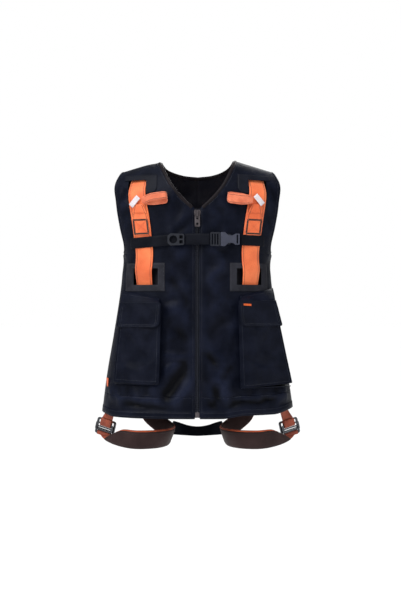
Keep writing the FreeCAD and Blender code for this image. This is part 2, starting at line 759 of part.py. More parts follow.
def buckle_socket():
    """Waisted socket with a cavity for guide and prongs, notches for the pads, and a web bar."""
    f, h = buckle_frame(), BUCKLE_HALF
    corners = [(25.2, -h), (36, -h), (44, -h + 7.5), (54, -h + 8.0), (62, -h + 3.5), (72, -h + 3.5),
               (72, h - 3.5), (62, h - 3.5), (54, h - 8.0), (44, h - 7.5), (36, h), (25.2, h)]
    body = f.plate(corners, -4.8, 4.8, 1.8, [(rectangle((64.5, 68.5), (-h + 6, h - 6)), 1.0)])
    return body.cut(f.box((24, 54), (-13.8, 13.8), (-2.9, 2.9)))


def web_keeper():
    """A flat moulded keeper on the strap: a round window and two short slots."""
    f = Frame((-52, -136.1, chest_height(-52)), (math.cos(0.06), -math.sin(0.06), 0), (0, 0, 1))
    corners = [(-21, -9), (-14, -15), (20, -13.5), (20, 13.5), (-14, 15), (-21, 9)]
    angles = [math.radians(a) for a in range(0, 360, 45)]
    octagon = [(-7 + 10.5 * math.cos(a), 10.5 * math.sin(a)) for a in angles]
    holes = [(octagon, 7.0), (rectangle((8, 16.5), (1.8, 10)), 1.2), (rectangle((8, 16.5), (-10, -1.8)), 1.2)]
    return f.plate(corners, 0.6, 3.8, 4.0, holes)


# ======================================================================== fall-arrest ring on the back
RING_ROD = 4.5
RING_BAR_Z = -152.0
RING_OFF = 10.5             # the ring's bar, off the back surface


def ring_frame():
    origin = torso(0, RING_BAR_Z, BACK) + V(0, RING_OFF, 0)
    return Frame(origin, (1, 0, 0), (0, 0, -1))


def dorsal_plate():
    """Moulded plate over the crossing of the webs, with two ears that hold the ring's bar."""
    f = ring_frame()
    back = -RING_OFF + 0.6 if f.n.y > 0 else RING_OFF - 0.6
    out = 1 if f.n.y > 0 else -1
    low, high = sorted((back, back + out * 4.0))
    plate = f.plate(rectangle((-44, 44), (-20, 66)), low, high, 12.0)
    ears = [f.box(u, (-8, 8), sorted((back + out * 3.9, out * 7.5))) for u in ((-40, -33.2), (33.2, 40))]
    body = plate.fuse(ears)
    return body.cut(f.rod((-60, 0, 0), (60, 0, 0), RING_ROD + 0.15))


def dorsal_ring():
    """A forged D: a straight bar and a bow."""
    f = ring_frame()
    half, reach, bar_end = 28.0, 56.0, 43.0
    bar = f.rod((-bar_end, 0, 0), (bar_end, 0, 0), RING_ROD)
    ends = [f.rod((s * (bar_end - 2.4), 0, 0), (s * bar_end, 0, 0), RING_ROD + 0.9) for s in (-1, 1)]
    left, right = f.at(-half, 0), f.at(half, 0)
    low_left, low_right = f.at(-half, reach - half), f.at(half, reach - half)
    path = Part.Wire([Part.LineSegment(left, low_left).toShape(),
                      Part.Arc(low_left, f.at(0, reach), low_right).toShape(),
                      Part.LineSegment(low_right, right).toShape()])
    profile = Part.Wire(Part.Circle(left, f.v, RING_ROD).toShape())
    bow = path.makePipeShell([profile], True, True)
    return bar.fuse([bow] + ends)


# ======================================================================== leg loops
PLATE_LIFT = 7.0            # the buckle's plate lies this far outside the middle of its frame
# Edge curves of the leg webbing for the right leg, from the frame at the hip, across the front of the thigh,
# between the legs and up behind into the vest. x is mirrored for the left leg.
LEG_TOP_EDGE = ((-225.5, -29, -716), (-213, -50, -706), (-190, -80, -686), (-150, -105, -684),
                (-108, -98, -684), (-78, -66, -685), (-64, -25, -686), (-62, 15, -685),
                (-72, 45, -680), (-91, 66, -668), (-109, 78, -650), (-120, 86, -618), (-123, 92, -586))
LEG_LOW_EDGE = ((-259.5, -8, -708), (-247, -31, -722), (-211, -66, -726), (-158, -95, -729),
                (-112, -88, -729), (-88, -60, -729), (-77, -22, -728), (-78, 15, -725),
                (-92, 47, -718), (-119, 68, -702), (-144, 80, -680), (-160, 86, -640), (-165, 91, -592))
HIP_EDGES = (((-226, -45, -604), (-232, -26, -640)), ((-207, -76, -604), (-211, -54, -642)))
DROP_WEB_U = (-12, 20)      # the drop webbing's edges, along the plate's bars


def leg_points(edge, side, first, last):
    return [V(-side * x, y, z) for x, y, z in edge[first:last]]


def leg_strip(side, first, last, low, high, rise=0.0, fall=0.0):
    """Part of the leg webbing between two stations. Rise and fall widen it at its upper and lower edge."""
    top = leg_points(LEG_TOP_EDGE, side, first, last)
    bottom = leg_points(LEG_LOW_EDGE, side, first, last)
    rows = []
    for k in (0.0, 0.33, 0.67, 1.0):
        row = []
        for a, b in zip(top, bottom):
            across = (b - a).normalize()
            a2, b2 = a - across * rise, b + across * fall
            row.append(a2 + (b2 - a2) * k)
        rows.append(row)
    return sheet(rows, low, high, inside=V(side * 140, -10, -700))


def turn_round_bar(f, passing, end, lift, u=(-20.0, 20.0)):
    """Webbing turned round a buckle's bar, through the slot at v = passing and back to v = end."""
    half_gap, thick = 2.5, 1.8
    layers = [sorted((lift + s * half_gap, lift + s * (half_gap + thick))) for s in (-1, 1)]
    sides = [f.box(u, sorted((passing, end)), layer) for layer in layers]
    reach = half_gap + thick
    inner = passing + math.copysign(thick, end - passing)
    bridge = f.box(u, sorted((passing, inner)), (lift - reach, lift + reach))
    return sides[0].fuse([sides[1], bridge])


def leg_web(side):
    """The load-bearing webbing, next to the thigh, and its turn round the lower bar of the frame."""
    f = leg_buckle_frame(side)
    return [leg_strip(side, 0, len(LEG_TOP_EDGE), 0.0, WEB_THICK), turn_round_bar(f, 10.5, 21.6, 0.0)]


def leg_sleeve(side):
    """The wide outer sleeve over the webbing, from the hip frame to behind the thigh."""
    return leg_strip(side, 2, len(LEG_TOP_EDGE) - 2, WEB_THICK + 0.6, WEB_THICK + 2.6, rise=-2.5, fall=0.5)


def seat_strap():
    """The strap behind the thighs that keeps the two loops together."""
    top = [V(x, y, z) for x, y, z in ((-62, 45, -682), (-48, 52, -687), (-25, 60, -695), (0, 62, -698),
                                      (25, 60, -695), (48, 52, -687), (62, 45, -682))]
    bottom = [V(x, y, z) for x, y, z in ((-78, 43, -716), (-54, 45, -719), (-26, 46, -721), (0, 46, -722),
                                         (26, 46, -721), (54, 45, -719), (78, 43, -716))]
    rows = [[a + (b - a) * k for a, b in zip(top, bottom)] for k in (0.0, 0.5, 1.0)]
    return sheet(rows, 3.2, 5.0, inside=V(0, -100, -700))


def drop_web(side):
    """The end of the hip webbing that comes out below the hem, and its turn round the plate's upper bar."""
    f = leg_buckle_frame(side)
    rows = []
    for edge, u in zip(HIP_EDGES, DROP_WEB_U):
        rows.append([V(-side * x, y, z) for x, y, z in edge] + [f.at(u, -22.6, PLATE_LIFT)])
    middle = [(a + b) * 0.5 for a, b in zip(*rows)]
    strip = sheet([rows[0], middle, rows[1]], -1.0, 1.0, inside=V(side * 140, 0, -640))
    return [strip, turn_round_bar(f, -2.2, -21.6, PLATE_LIFT, DROP_WEB_U)]


def leg_buckle_frame(side):
    """u runs along the bars towards the front, v runs down, n points out of the wearer's side."""
    u = (side * -0.84, -0.50, -0.20)
    f = Frame((side * 237, -19, -687), u, (side * 0.22, 0.02, -0.975))
    if f.n.x * side < 0:
        f.n = -f.n
    return f


def leg_frame(side):
    """The large buckle frame on the leg webbing: a wide opening for the plate and a slot for the webbing."""
    f = leg_buckle_frame(side)
    holes = [(rectangle((-24, 24), (-16.5, 5.0)), 3.0), (rectangle((-24, 24), (9.0, 16.5)), 2.0)]
    return f.plate(rectangle((-29, 29), (-21, 21)), -2.0, 2.0, 6.0, holes)


def leg_plate(side):
    """The small buckle plate on the hip webbing, passed through the frame and lying across it."""
    f = leg_buckle_frame(side)
    holes = [(rectangle((-22.5, 22.5), v), 1.5) for v in ((-6.5, -1.5), (1.8, 6.2))]
    return f.plate(rectangle((-26.5, 26.5), (-10.5, 10.0)), PLATE_LIFT - 1.5, PLATE_LIFT + 1.5, 4.0, holes)


# ======================================================================== build
def build_vest():
    save("back_panel", *back_panel())
    save("neck_facing", *neck_facing())
    save("armhole_facings", *[strip for side, _ in SIDES for strip in armhole_facing(side)])
    save("dorsal_patch", dorsal_patch())
    for side, word in SIDES:
        save(f"front_panel_{word}", front_panel(side))
        save(f"window_patch_{word}", window_patch(side))
        save(f"shoulder_patch_{word}", shoulder_patch(side))
        save(f"zip_tape_{word}", zip_tape(side))
        save(f"zip_teeth_{word}", *zip_teeth(side))
    save("zip_slider", zip_slider())
    save("zip_pull", zip_pull())
    save("zip_box", zip_box())
    for word, pocket in POCKETS.items():
        save(f"pocket_bag_{word}", *pocket_bag(pocket))
        save(f"pocket_flap_{word}", pocket_flap(pocket))
        save(f"flap_seam_{word}", flap_seam(pocket))
    save("pocket_tab", pocket_tab())
    save("side_tab", side_tab())


def build_harness():
    for side, word in SIDES:
        save(f"shoulder_web_{word}", shoulder_web(side))
        save(f"back_web_{word}", back_web(side))
        save(f"adjuster_{word}", adjuster(side))
        save(f"hip_web_{word}", hip_web(side))
        save(f"front_loop_{word}", front_loop(side))
        save(f"loop_tail_{word}", loop_tail(side))
        save(f"leg_web_{word}", *leg_web(side))
        save(f"leg_sleeve_{word}", leg_sleeve(side))
        save(f"drop_web_{word}", *drop_web(side))
        save(f"leg_frame_{word}", leg_frame(side))
        save(f"leg_plate_{word}", leg_plate(side))
    save("loop_tags", *[loop_tag(side) for side, _ in SIDES])
    save("seat_strap", seat_strap())
    save("chest_web_left", chest_web(LEFT, 104.5))
    save("chest_web_right", chest_web(RIGHT, 32))
    save("chest_slack", chest_slack())
    save("web_keeper", web_keeper())
    save("buckle_male", buckle_male())
    save("buckle_prong_upper", buckle_prong(1))
    save("buckle_prong_lower", buckle_prong(-1))
    save("buckle_socket", buckle_socket())
    save("dorsal_plate", dorsal_plate())
    save("dorsal_ring", dorsal_ring())


os.makedirs("parts", exist_ok=True)
build_vest()
build_harness()
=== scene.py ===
"""Looks of the work vest with its built-in safety harness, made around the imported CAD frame.

Sizes are in millimetres, as in the part's source, and become metres when a mesh is made.
+Z is up, -Y is the wearer's front, +X is the wearer's left. Left and right in names are the wearer's.
"""
import math

import bmesh
import bpy
import numpy as np
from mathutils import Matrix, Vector, noise


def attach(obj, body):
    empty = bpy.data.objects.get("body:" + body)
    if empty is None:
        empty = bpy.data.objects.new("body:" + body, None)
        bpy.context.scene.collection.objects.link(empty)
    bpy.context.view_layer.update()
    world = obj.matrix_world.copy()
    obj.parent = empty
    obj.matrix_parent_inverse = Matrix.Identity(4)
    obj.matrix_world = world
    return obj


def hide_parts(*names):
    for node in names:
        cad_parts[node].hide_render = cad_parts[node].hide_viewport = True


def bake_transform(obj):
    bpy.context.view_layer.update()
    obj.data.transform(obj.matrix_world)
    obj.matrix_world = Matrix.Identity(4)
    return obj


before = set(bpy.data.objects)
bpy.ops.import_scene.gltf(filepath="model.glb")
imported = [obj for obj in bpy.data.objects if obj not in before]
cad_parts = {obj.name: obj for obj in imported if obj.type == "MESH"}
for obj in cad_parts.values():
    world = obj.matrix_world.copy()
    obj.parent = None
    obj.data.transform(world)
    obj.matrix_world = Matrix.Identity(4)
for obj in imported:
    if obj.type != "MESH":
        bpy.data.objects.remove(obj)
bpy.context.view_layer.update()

MM = 0.001
LEFT, RIGHT = 1, -1
FRONT, BACK = -1, 1
SIDES = ((LEFT, "left"), (RIGHT, "right"))

# ---- driving sizes, the same as in the part's source ----
HEM_Z = -650.0
NECK_X = 95.0
SHOULDER_SLOPE = 0.30
DOME_DROP = 110.0
RIDGE_Y = 8.0
SQUARENESS = 2.5
CLOTH = 3.0
SEAM_GAP = 0.2
ARMHOLE_TOP_SHARE = 0.90
ARMHOLE_BEND_Z = -150.0
ARMHOLE_BOTTOM_Z = -242.0
HALF_WIDTHS = ((0, 200), (-31, 218), (-75, 235), (-125, 232), (-177, 221), (-225, 202), (-255, 193),
               (-295, 192), (-350, 198), (-450, 214), (-550, 231), (-650, 243))
BACK_DEPTHS = ((0, 92), (-150, 108), (-250, 104), (-350, 98), (-450, 102), (-550, 112), (-650, 120))
FRONT_DEPTH = 112.7
FRONT_LEAN = 0.0395
V_NECK = ((0, NECK_X), (-67, 65.6), (-102, 39.3), (-133, 7.0))
BACK_NECK = ((0, NECK_X), (-10, 85.0), (-20, 66.0), (-27, 42.0), (-31, 0.0))
ZIP_TOP_Z = -133.0
ZIP_BOTTOM_Z = -648.0
FRONT_EDGE_X = 7.0
WEB = 45.0
WEB_THICK = 2.0
CHEST_WEB = 26.0
CHEST_WEB_THICK = 1.4
CHEST_Z = -209.0
ON_CHEST = 5.6
PATCH_OFF = 0.7
SLOT_X = (125.5, 174.0)
SLOT_Z = (-90.0, -57.0)
WINDOW_X = (98.0, 160.0)
WINDOW_Z = (-321.0, -280.0)
WINDOW_PATCH_X = (80.0, 178.0)
WINDOW_PATCH_Z = (-337.0, -267.0)
DORSAL_HALF_X = 48.0
DORSAL_Z = (-222.0, -128.0)
DORSAL_BORDER = 20.0
YOKE_PATCH_X = (100.0, 182.0)
YOKE_PATCH_Z = (-94.0, -46.0)

# ---- sizes of what is only seen ----
HEM_BAND = 16.0             # height of the turned-up hem
LOWER_SEAM_Z = -597.0       # the seam that runs round above the hem
ZIP_STITCH_X = 11.0         # the row of stitches either side of the zip
MIDDLE_STITCH_X = 1.8       # the rows either side of the back's middle seam
HEM_RISE = (7.5, 9.5)       # the hem rises towards the wearer's left hip, and more steeply at the side seam
HEM_RISE_RIGHT = 6.0        # and a little at the right side seam
ARMHOLE_TUCK = 6.0          # the armholes hang this much further in than the plain body shape
STITCH_PITCH = 3.4
STITCH_RADIUS = 0.34
FOLD_CAP = 7.0              # simulated wrinkles move no point further than this
CELL = 6.0                  # size of a panel's grid cells
FRONT_COLUMNS = 46          # points across each front panel
BACK_COLUMNS = 40           # and across each half of the back
STITCH_LIFT = 0.15          # stitches lie this far off the cloth
THROUGH_FRONT = (-300, 0)   # the depth that an opening's cutter spans, in front of the body's middle
THROUGH_BACK = (0, 300)     # and behind it
BACKING_OFF = (-13.5, -12.5)  # inner and outer face of the facings behind the openings, from the body surface
BACKING_MARGIN = 9.0        # how far a facing reaches past its opening
SLOT_BACKING_EXTRA = 20.0   # the slot's facing reaches this much further towards the armhole


# ======================================================================== points and grids
def vec(*values):
    return np.array(values, float)


def unit(v):
    v = np.asarray(v, float)
    return v / np.linalg.norm(v)


def smoothstep(low, high, value):
    t = min(max((value - low) / (high - low), 0.0), 1.0)
    return t * t * (3 - 2 * t)


def through(z, stations):
    """A smooth value at height z through (height, value) stations, listed from the top down."""
    if z >= stations[0][0]:
        return stations[0][1]
    if z <= stations[-1][0]:
        return stations[-1][1]
    i = max(k for k in range(len(stations) - 1) if stations[k][0] >= z)
    (z0, v0), (z1, v1) = stations[i], stations[i + 1]
    before, after = stations[max(i - 1, 0)], stations[min(i + 2, len(stations) - 1)]
    slope0 = (v1 - before[1]) / (z1 - before[0])
    slope1 = (after[1] - v0) / (after[0] - z0)
    t, span = (z - z0) / (z1 - z0), z1 - z0
    return ((2 * t**3 - 3 * t**2 + 1) * v0 + (t**3 - 2 * t**2 + t) * span * slope0
            + (-2 * t**3 + 3 * t**2) * v1 + (t**3 - t**2) * span * slope1)


def lengths_along(points):
    """Distance along a line of points, from the first one."""
    return np.concatenate([[0], np.cumsum(np.linalg.norm(np.diff(points, axis=0), axis=1))])


def resample(points, step):
    """Points about a step apart along the smooth curve through the given ones."""
    p = np.array(points, float)
    d = lengths_along(p)
    slope = np.gradient(p, d, axis=0)
    found = []
    for s in np.linspace(0, d[-1], max(2, int(round(d[-1] / step)) + 1)):
        i = min(max(int(np.searchsorted(d, s, side="right")) - 1, 0), len(d) - 2)
        h = d[i + 1] - d[i]
        t = (s - d[i]) / h
        found.append((2 * t**3 - 3 * t**2 + 1) * p[i] + (t**3 - 2 * t**2 + t) * h * slope[i]
                     + (3 * t**2 - 2 * t**3) * p[i + 1] + (t**3 - t**2) * h * slope[i + 1])
    return np.array(found)


def spread(points, count):
    """This many points, evenly spaced along the smooth curve through the given ones."""
    fine = resample(points, 1.5)
    d = lengths_along(fine)
    wanted = np.linspace(0, d[-1], count)
    return np.stack([np.interp(wanted, d, fine[:, k]) for k in range(fine.shape[1])], axis=1)


def one_sided_normals(p):
    """Unit normals of a grid of points, all on the same side of it."""
    n = np.cross(np.gradient(p, axis=1), np.gradient(p, axis=0))
    return n / np.maximum(np.linalg.norm(n, axis=2, keepdims=True), 1e-9)


def grid_normals(p, inside):
    """Unit normals of a grid of points, pointing away from the point called inside."""
    n = one_sided_normals(p)
    i, j = p.shape[0] // 2, p.shape[1] // 2
    return n if np.dot(n[i, j], p[i, j] - np.asarray(inside)) > 0 else -n


def distances_along(p, axis):
    """Length along the grid's rows or columns, from the first point of each."""
    steps = np.linalg.norm(np.diff(p, axis=axis), axis=2)
    pad = [(0, 0), (0, 0)]
    pad[axis] = (1, 0)
    return np.cumsum(np.pad(steps, pad), axis=axis)


def neighbour_sum(grid):
    """The sum of each value's four neighbours in a grid, whose border repeats its own values."""
    padded = np.pad(grid, ((1, 1), (1, 1)) + ((0, 0),) * (grid.ndim - 2), mode="edge")
    return padded[:-2, 1:-1] + padded[2:, 1:-1] + padded[1:-1, :-2] + padded[1:-1, 2:]


# ======================================================================== the body surface
def half_width(z):
    return through(z, HALF_WIDTHS)


def shoulder_line(x):
    return -SHOULDER_SLOPE * (abs(x) - NECK_X)


def torso(x, z, face):
    """The point of the body surface, front or back, at this width and height."""
    drop = shoulder_line(x) - z
    dome = math.sqrt(max(0.0, 1 - (1 - min(max(drop, 0) / DOME_DROP, 1)) ** 2))
    share = min(abs(x) / half_width(z), 1.0)
    depth = through(z, BACK_DEPTHS) if face == BACK else FRONT_DEPTH - FRONT_LEAN * z
    out = depth * (1 - share**SQUARENESS) ** (1 / SQUARENESS)
    return vec(x, RIDGE_Y + (face * out - RIDGE_Y) * dome + face * SEAM_GAP, z)


def body_normal(x, z, face):
    side_step = torso(x + 0.5, z, face) - torso(x - 0.5, z, face)
    down_step = torso(x, z - 0.5, face) - torso(x, z + 0.5, face)
    n = unit(np.cross(side_step, down_step))
    return n if n[1] * face > 0 else -n


def sway(x, z):
    """How far the hung cloth is from its even shape, sideways and in height."""
    low = smoothstep(-545.0, HEM_Z, z)
    rise = HEM_RISE[0] * smoothstep(60, 120, x) + HEM_RISE[1] * smoothstep(190, 243, x)
    rise += HEM_RISE_RIGHT * smoothstep(-205, -243, x)
    tuck = (ARMHOLE_TUCK * smoothstep(-55, -110, z) * (1 - smoothstep(-235, -300, z))
            * smoothstep(120, 190, abs(x)))
    waist = 5.0 * smoothstep(-235, -290, z) * (1 - smoothstep(-360, -440, z)) * smoothstep(120, 190, x)
    neck = 4.0 * math.exp(-(((x + NECK_X) / 26) ** 2)) * (1 - smoothstep(-10, -60, z))
    return vec(-math.copysign(tuck, x) - waist, 0, low * rise - neck)


def on_vest(x, z, face, off=0.0):
    """A point on the vest's cloth as it hangs: folds and the uneven hem included."""
    return torso(x, z, face) + body_normal(x, z, face) * (off + folds(x, z, face)) + sway(x, z)


# Folds of the cloth: ends (x, z), width and height. A negative height is a valley.
FRONT_FOLDS = (
    ((-100, -496), (-14, -500), 9, 4.2), ((-100, -510), (-20, -508), 7, -3.4),
    ((-16, -512), (-92, -612), 16, -9.0), ((-46, -500), (-118, -592), 12, 6.2),
    ((-18, -556), (-58, -622), 11, 6.4), ((-12, -530), (-30, -580), 8, 2.6),
    ((18, -486), (46, -516), 9, -6.4), ((22, -470), (70, -505), 10, 3.0),
    ((30, -632), (60, -556), 11, -8.4), ((60, -560), (86, -518), 10, -6.0), ((78, -622), (44, -548), 9, 5.4),
    ((18, -560), (48, -624), 10, 5.0), ((84, -600), (60, -560), 10, 3.2),
    ((-190, -614), (-60, -627), 9, -6.2), ((-200, -604), (-70, -606), 7, 2.6),
    ((70, -622), (200, -612), 9, -6.2), ((90, -605), (215, -598), 7, 2.4),
    ((-86, -262), (-20, -330), 14, 2.6), ((84, -258), (22, -318), 14, 2.6),
    ((-70, -300), (-16, -372), 11, -2.4),
    ((66, -292), (18, -352), 11, -2.2), ((-66, -360), (-14, -430), 13, 2.8),
    ((70, -350), (16, -410), 13, 2.6),
    ((-78, -410), (-20, -462), 12, -2.6), ((78, -400), (20, -452), 12, -2.6),
    ((-90, -150), (-60, -240), 12, 1.8), ((90, -150), (62, -236), 12, 1.8),
    ((-205, -150), (-176, -262), 9, 2.4), ((205, -150), (178, -262), 9, 2.4),
    ((-190, -262), (-130, -345), 10, -1.8), ((188, -262), (132, -345), 10, -1.8),
)
BACK_FOLDS = (
    ((-170, -150), (-110, -290), 15, 3.4), ((170, -150), (112, -290), 15, 3.4),
    ((-150, -250), (-60, -400), 18, -4.0), ((148, -240), (58, -392), 18, -4.0),
    ((-180, -330), (-40, -380), 14, 3.6), ((182, -340), (30, -400), 14, 3.6),
    ((-150, -430), (20, -448), 13, -3.6), ((150, -452), (-10, -470), 12, 3.2),
    ((-60, -480), (-90, -640), 16, 4.6), ((40, -470), (70, -640), 17, 4.8), ((0, -500), (-8, -640), 13, -4.0),
    ((150, -500), (176, -640), 15, -4.6), ((-150, -500), (-172, -640), 15, -4.4),
    ((-205, -150), (-180, -262), 9, 2.2), ((205, -150), (182, -262), 9, 2.2),
)
NECK_HEIGHTS = tuple(zip(*[(x, z) for z, x in reversed(BACK_NECK)]))
POCKET_SPAN = {LEFT: (96.0, 232.0), RIGHT: (82.0, 222.0)}


def fold_strength(x, z, face):
    """How free the cloth is here: 0 where webbing, a seam, the zip or a pocket holds it."""
    if face == FRONT:
        free = smoothstep(8, 26, abs(x)) * smoothstep(2, 28, abs(x) - front_inner_x(z) + 9)
    else:
        free = smoothstep(6, 44, float(np.interp(abs(x), *NECK_HEIGHTS)) - z)
    free *= 1 - smoothstep(0.92, 0.99, abs(x) / (half_width(z) * armhole_share(z)))
    free *= smoothstep(HEM_Z + HEM_BAND - 4, HEM_Z + HEM_BAND + 16, z)
    free *= smoothstep(0, 60, shoulder_line(x) - z)
    if face == FRONT:
        across = smoothstep(62, 78, abs(x)) * (1 - smoothstep(172, 184, abs(x)))
        free *= 1 - across * smoothstep(-352, -340, z)
        if -575 < z < -345:
            inner = POCKET_SPAN[LEFT if x > 0 else RIGHT][0]
            free *= 1 - 0.92 * smoothstep(inner - 10, inner + 4, abs(x)) * smoothstep(-575, -560, z)
    else:
        held = (1 - smoothstep(68, 84, abs(x))) * smoothstep(-262, -246, z) * (1 - smoothstep(-110, -96, z))
        free *= 1 - held
    return free


def folds(x, z, face):
    """How far the sculpted folds lift the cloth off the plain body shape."""
    free = fold_strength(x, z, face)
    if free < 0.01:
        return 0.0
    lift = 0.0
    wander = 6.0 * noise.noise(Vector((x / 30, z / 30, 5.1)))
    for (ax, az), (bx, bz), width, height in (FRONT_FOLDS if face == FRONT else BACK_FOLDS):
        dx, dz = bx - ax, bz - az
        t = ((x - ax) * dx + (z - az) * dz) / (dx * dx + dz * dz)
        near = min(max(t, 0.0), 1.0)
        gap = math.hypot(x - ax - near * dx, z - az - near * dz) + wander
        lift += height * math.exp(-((gap / width) ** 2)) * (1 - abs(2 * near - 1) ** 4)
    lift += 1.5 * noise.noise(Vector((x / 46, z / 62, 3.7 * face)))
    lift += 0.7 * noise.noise(Vector((x / 19 + 9, z / 24, 1.3 * face)))
    clear_of_webs = face == FRONT and z < -450 and abs(x) < 100
    deepest = -9.0 if clear_of_webs else -2.6 if face == BACK else -4.5
    if lift < deepest:
        lift = deepest + (lift - deepest) * 0.25
    return lift * free


# ======================================================================== meshes
def new_object(name, verts, polygons, uv_of_vert, materials, inner_faces=()):
    """A mesh object from points in millimetres. The second material goes on the inner faces."""
    mesh = bpy.data.meshes.new(name)
    mesh.from_pydata([tuple(v * MM) for v in np.asarray(verts, float)], [], polygons)
    layer = mesh.uv_layers.new(name="UVMap")
    loop_verts = np.empty(len(mesh.loops), np.int32)
    mesh.loops.foreach_get("vertex_index", loop_verts)
    layer.data.foreach_set("uv", (np.asarray(uv_of_vert, float)[loop_verts] * MM).ravel())
    for material in materials:
        mesh.materials.append(material)
    for k in inner_faces:
        mesh.polygons[k].material_index = 1
    obj = bpy.data.objects.new(name, mesh)
    bpy.context.scene.collection.objects.link(obj)
    tidy_normals(obj)
    return obj


def tidy_normals(obj, sharp_degrees=52):
    mesh = bmesh.new()
    mesh.from_mesh(obj.data)
    bmesh.ops.recalc_face_normals(mesh, faces=mesh.faces)
    mesh.to_mesh(obj.data)
    mesh.free()
    obj.data.shade_smooth()
    obj.data.set_sharp_from_angle(angle=math.radians(sharp_degrees))


surfaces = {}       # the outer face of each slab, by name: its grid of points and their normals


def slab(name, points, low, high, materials, inside=(0, 0, -400), uv=None, rim=0.42, normals=None):
    """Cloth or webbing with rounded edges, between two heights over a grid of points."""
    p = np.array(points, float)
    rows, cols = p.shape[:2]
    n = grid_normals(p, inside) if normals is None else normals
    low = np.broadcast_to(np.asarray(low, float), (rows, cols))[..., None]
    high = np.broadcast_to(np.asarray(high, float), (rows, cols))[..., None]
    outer, inner = p + n * high, p + n * low
    surfaces[name] = (outer, n)
    border = ([(0, j) for j in range(cols)] + [(i, cols - 1) for i in range(1, rows)]
              + [(rows - 1, j) for j in range(cols - 2, -1, -1)] + [(i, 0) for i in range(rows - 2, 0, -1)])
    count = len(border)
    middle = (outer + inner) / 2
    edge = []
    for k, (i, j) in enumerate(border):
        before, after = border[k - 1], border[(k + 1) % count]
        along = middle[after] - middle[before]
        away = np.cross(along, n[i, j])
        away /= max(np.linalg.norm(away), 1e-9)
        inner_i = min(max(i, 1), rows - 2) if rows > 2 else i
        inner_j = min(max(j, 1), cols - 2) if cols > 2 else j
        interior = middle[inner_i, inner_j]
        if np.dot(away, middle[i, j] - interior) < 0:
            away = -away
        edge.append(middle[i, j] + away * rim * abs(high[i, j, 0] - low[i, j, 0]))
    verts = np.concatenate([outer.reshape(-1, 3), inner.reshape(-1, 3), np.array(edge)])
    if uv is None:
        across = distances_along(p, 0)
        uv = np.stack([across - across[-1:] / 2, distances_along(p, 1)], axis=2)
    flat = uv.reshape(-1, 2)
    uvs = np.concatenate([flat, flat, np.array([uv[i, j] for i, j in border])])
    total = rows * cols
    faces, inner_faces = [], []
    for i in range(rows - 1):
        for j in range(cols - 1):
            a, b = i * cols + j, (i + 1) * cols + j
            faces.append((a, a + 1, b + 1, b))
            inner_faces.append(len(faces))
            faces.append((total + a, total + b, total + b + 1, total + a + 1))
    for k, (i, j) in enumerate(border):
        i2, j2 = border[(k + 1) % count]
        a, b = i * cols + j, i2 * cols + j2
        e, e2 = 2 * total + k, 2 * total + (k + 1) % count
        faces.append((a, b, e2, e))
        faces.append((e, e2, total + b, total + a))
    has_lining = len(materials) > 1
    return new_object(name, verts, faces, uvs, materials, inner_faces if has_lining else ())


def loft(name, rings, materials):
    """A capped solid through closed rings of points that all have the same count."""
    p = np.array(rings, float)
    count, size = p.shape[:2]
    faces = []
    for i in range(count - 1):
        for j in range(size):
            k = (j + 1) % size
            faces.append((i * size + j, i * size + k, (i + 1) * size + k, (i + 1) * size + j))
    faces.append(tuple(range(size)))
    faces.append(tuple((count - 1) * size + j for j in range(size)))
    uvs = np.stack([distances_along(p, 1), distances_along(p, 0)], axis=2).reshape(-1, 2)
    return new_object(name, p.reshape(-1, 3), faces, uvs, materials)


def bead(name, line, normals, materials, width, height, drop=0.0, sides=12):
    """A sewn binding or piping: a flattened oval section along a line on the cloth."""
    rings = []
    for k, (p, n) in enumerate(zip(line, normals)):
        t = unit(line[min(k + 1, len(line) - 1)] - line[max(k - 1, 0)])
        across = unit(np.cross(t, n))
        up = unit(np.cross(across, t))
        rings.append([p + across * width / 2 * math.cos(a) + up * (height / 2 * math.sin(a) + drop)
                      for a in np.linspace(0, 2 * math.pi, sides, endpoint=False)])
    return loft(name, rings, materials)


def with_modifiers_applied(obj):
    """Replaces the object's mesh by what its modifiers make of it."""
    made = bpy.data.meshes.new_from_object(obj.evaluated_get(bpy.context.evaluated_depsgraph_get()))
    obj.modifiers.clear()
    obj.data = made
    return obj


CUTTER_FACES = ((0, 1, 3, 2), (4, 6, 7, 5), (0, 4, 5, 1), (2, 3, 7, 6), (0, 2, 6, 4), (1, 5, 7, 3))


def cut_out(obj, boxes):
    """Cuts rectangular openings, given as (x, y, z) bounds, through a panel."""
    for k, (x, y, z) in enumerate(boxes):
        mesh = bpy.data.meshes.new("cutter")
        corners = [(a * MM, b * MM, c * MM) for a in sorted(x) for b in sorted(y) for c in sorted(z)]
        mesh.from_pydata(corners, [], CUTTER_FACES)
        cutter = bpy.data.objects.new(f"cutter_{k}", mesh)
        bpy.context.scene.collection.objects.link(cutter)
        cut = obj.modifiers.new("opening", "BOOLEAN")
        cut.operation = "DIFFERENCE"
        cut.solver = "EXACT"
        cut.object = cutter
        bpy.context.view_layer.update()
        with_modifiers_applied(obj)
        bpy.data.objects.remove(cutter)
    tidy_normals(obj)
    return obj


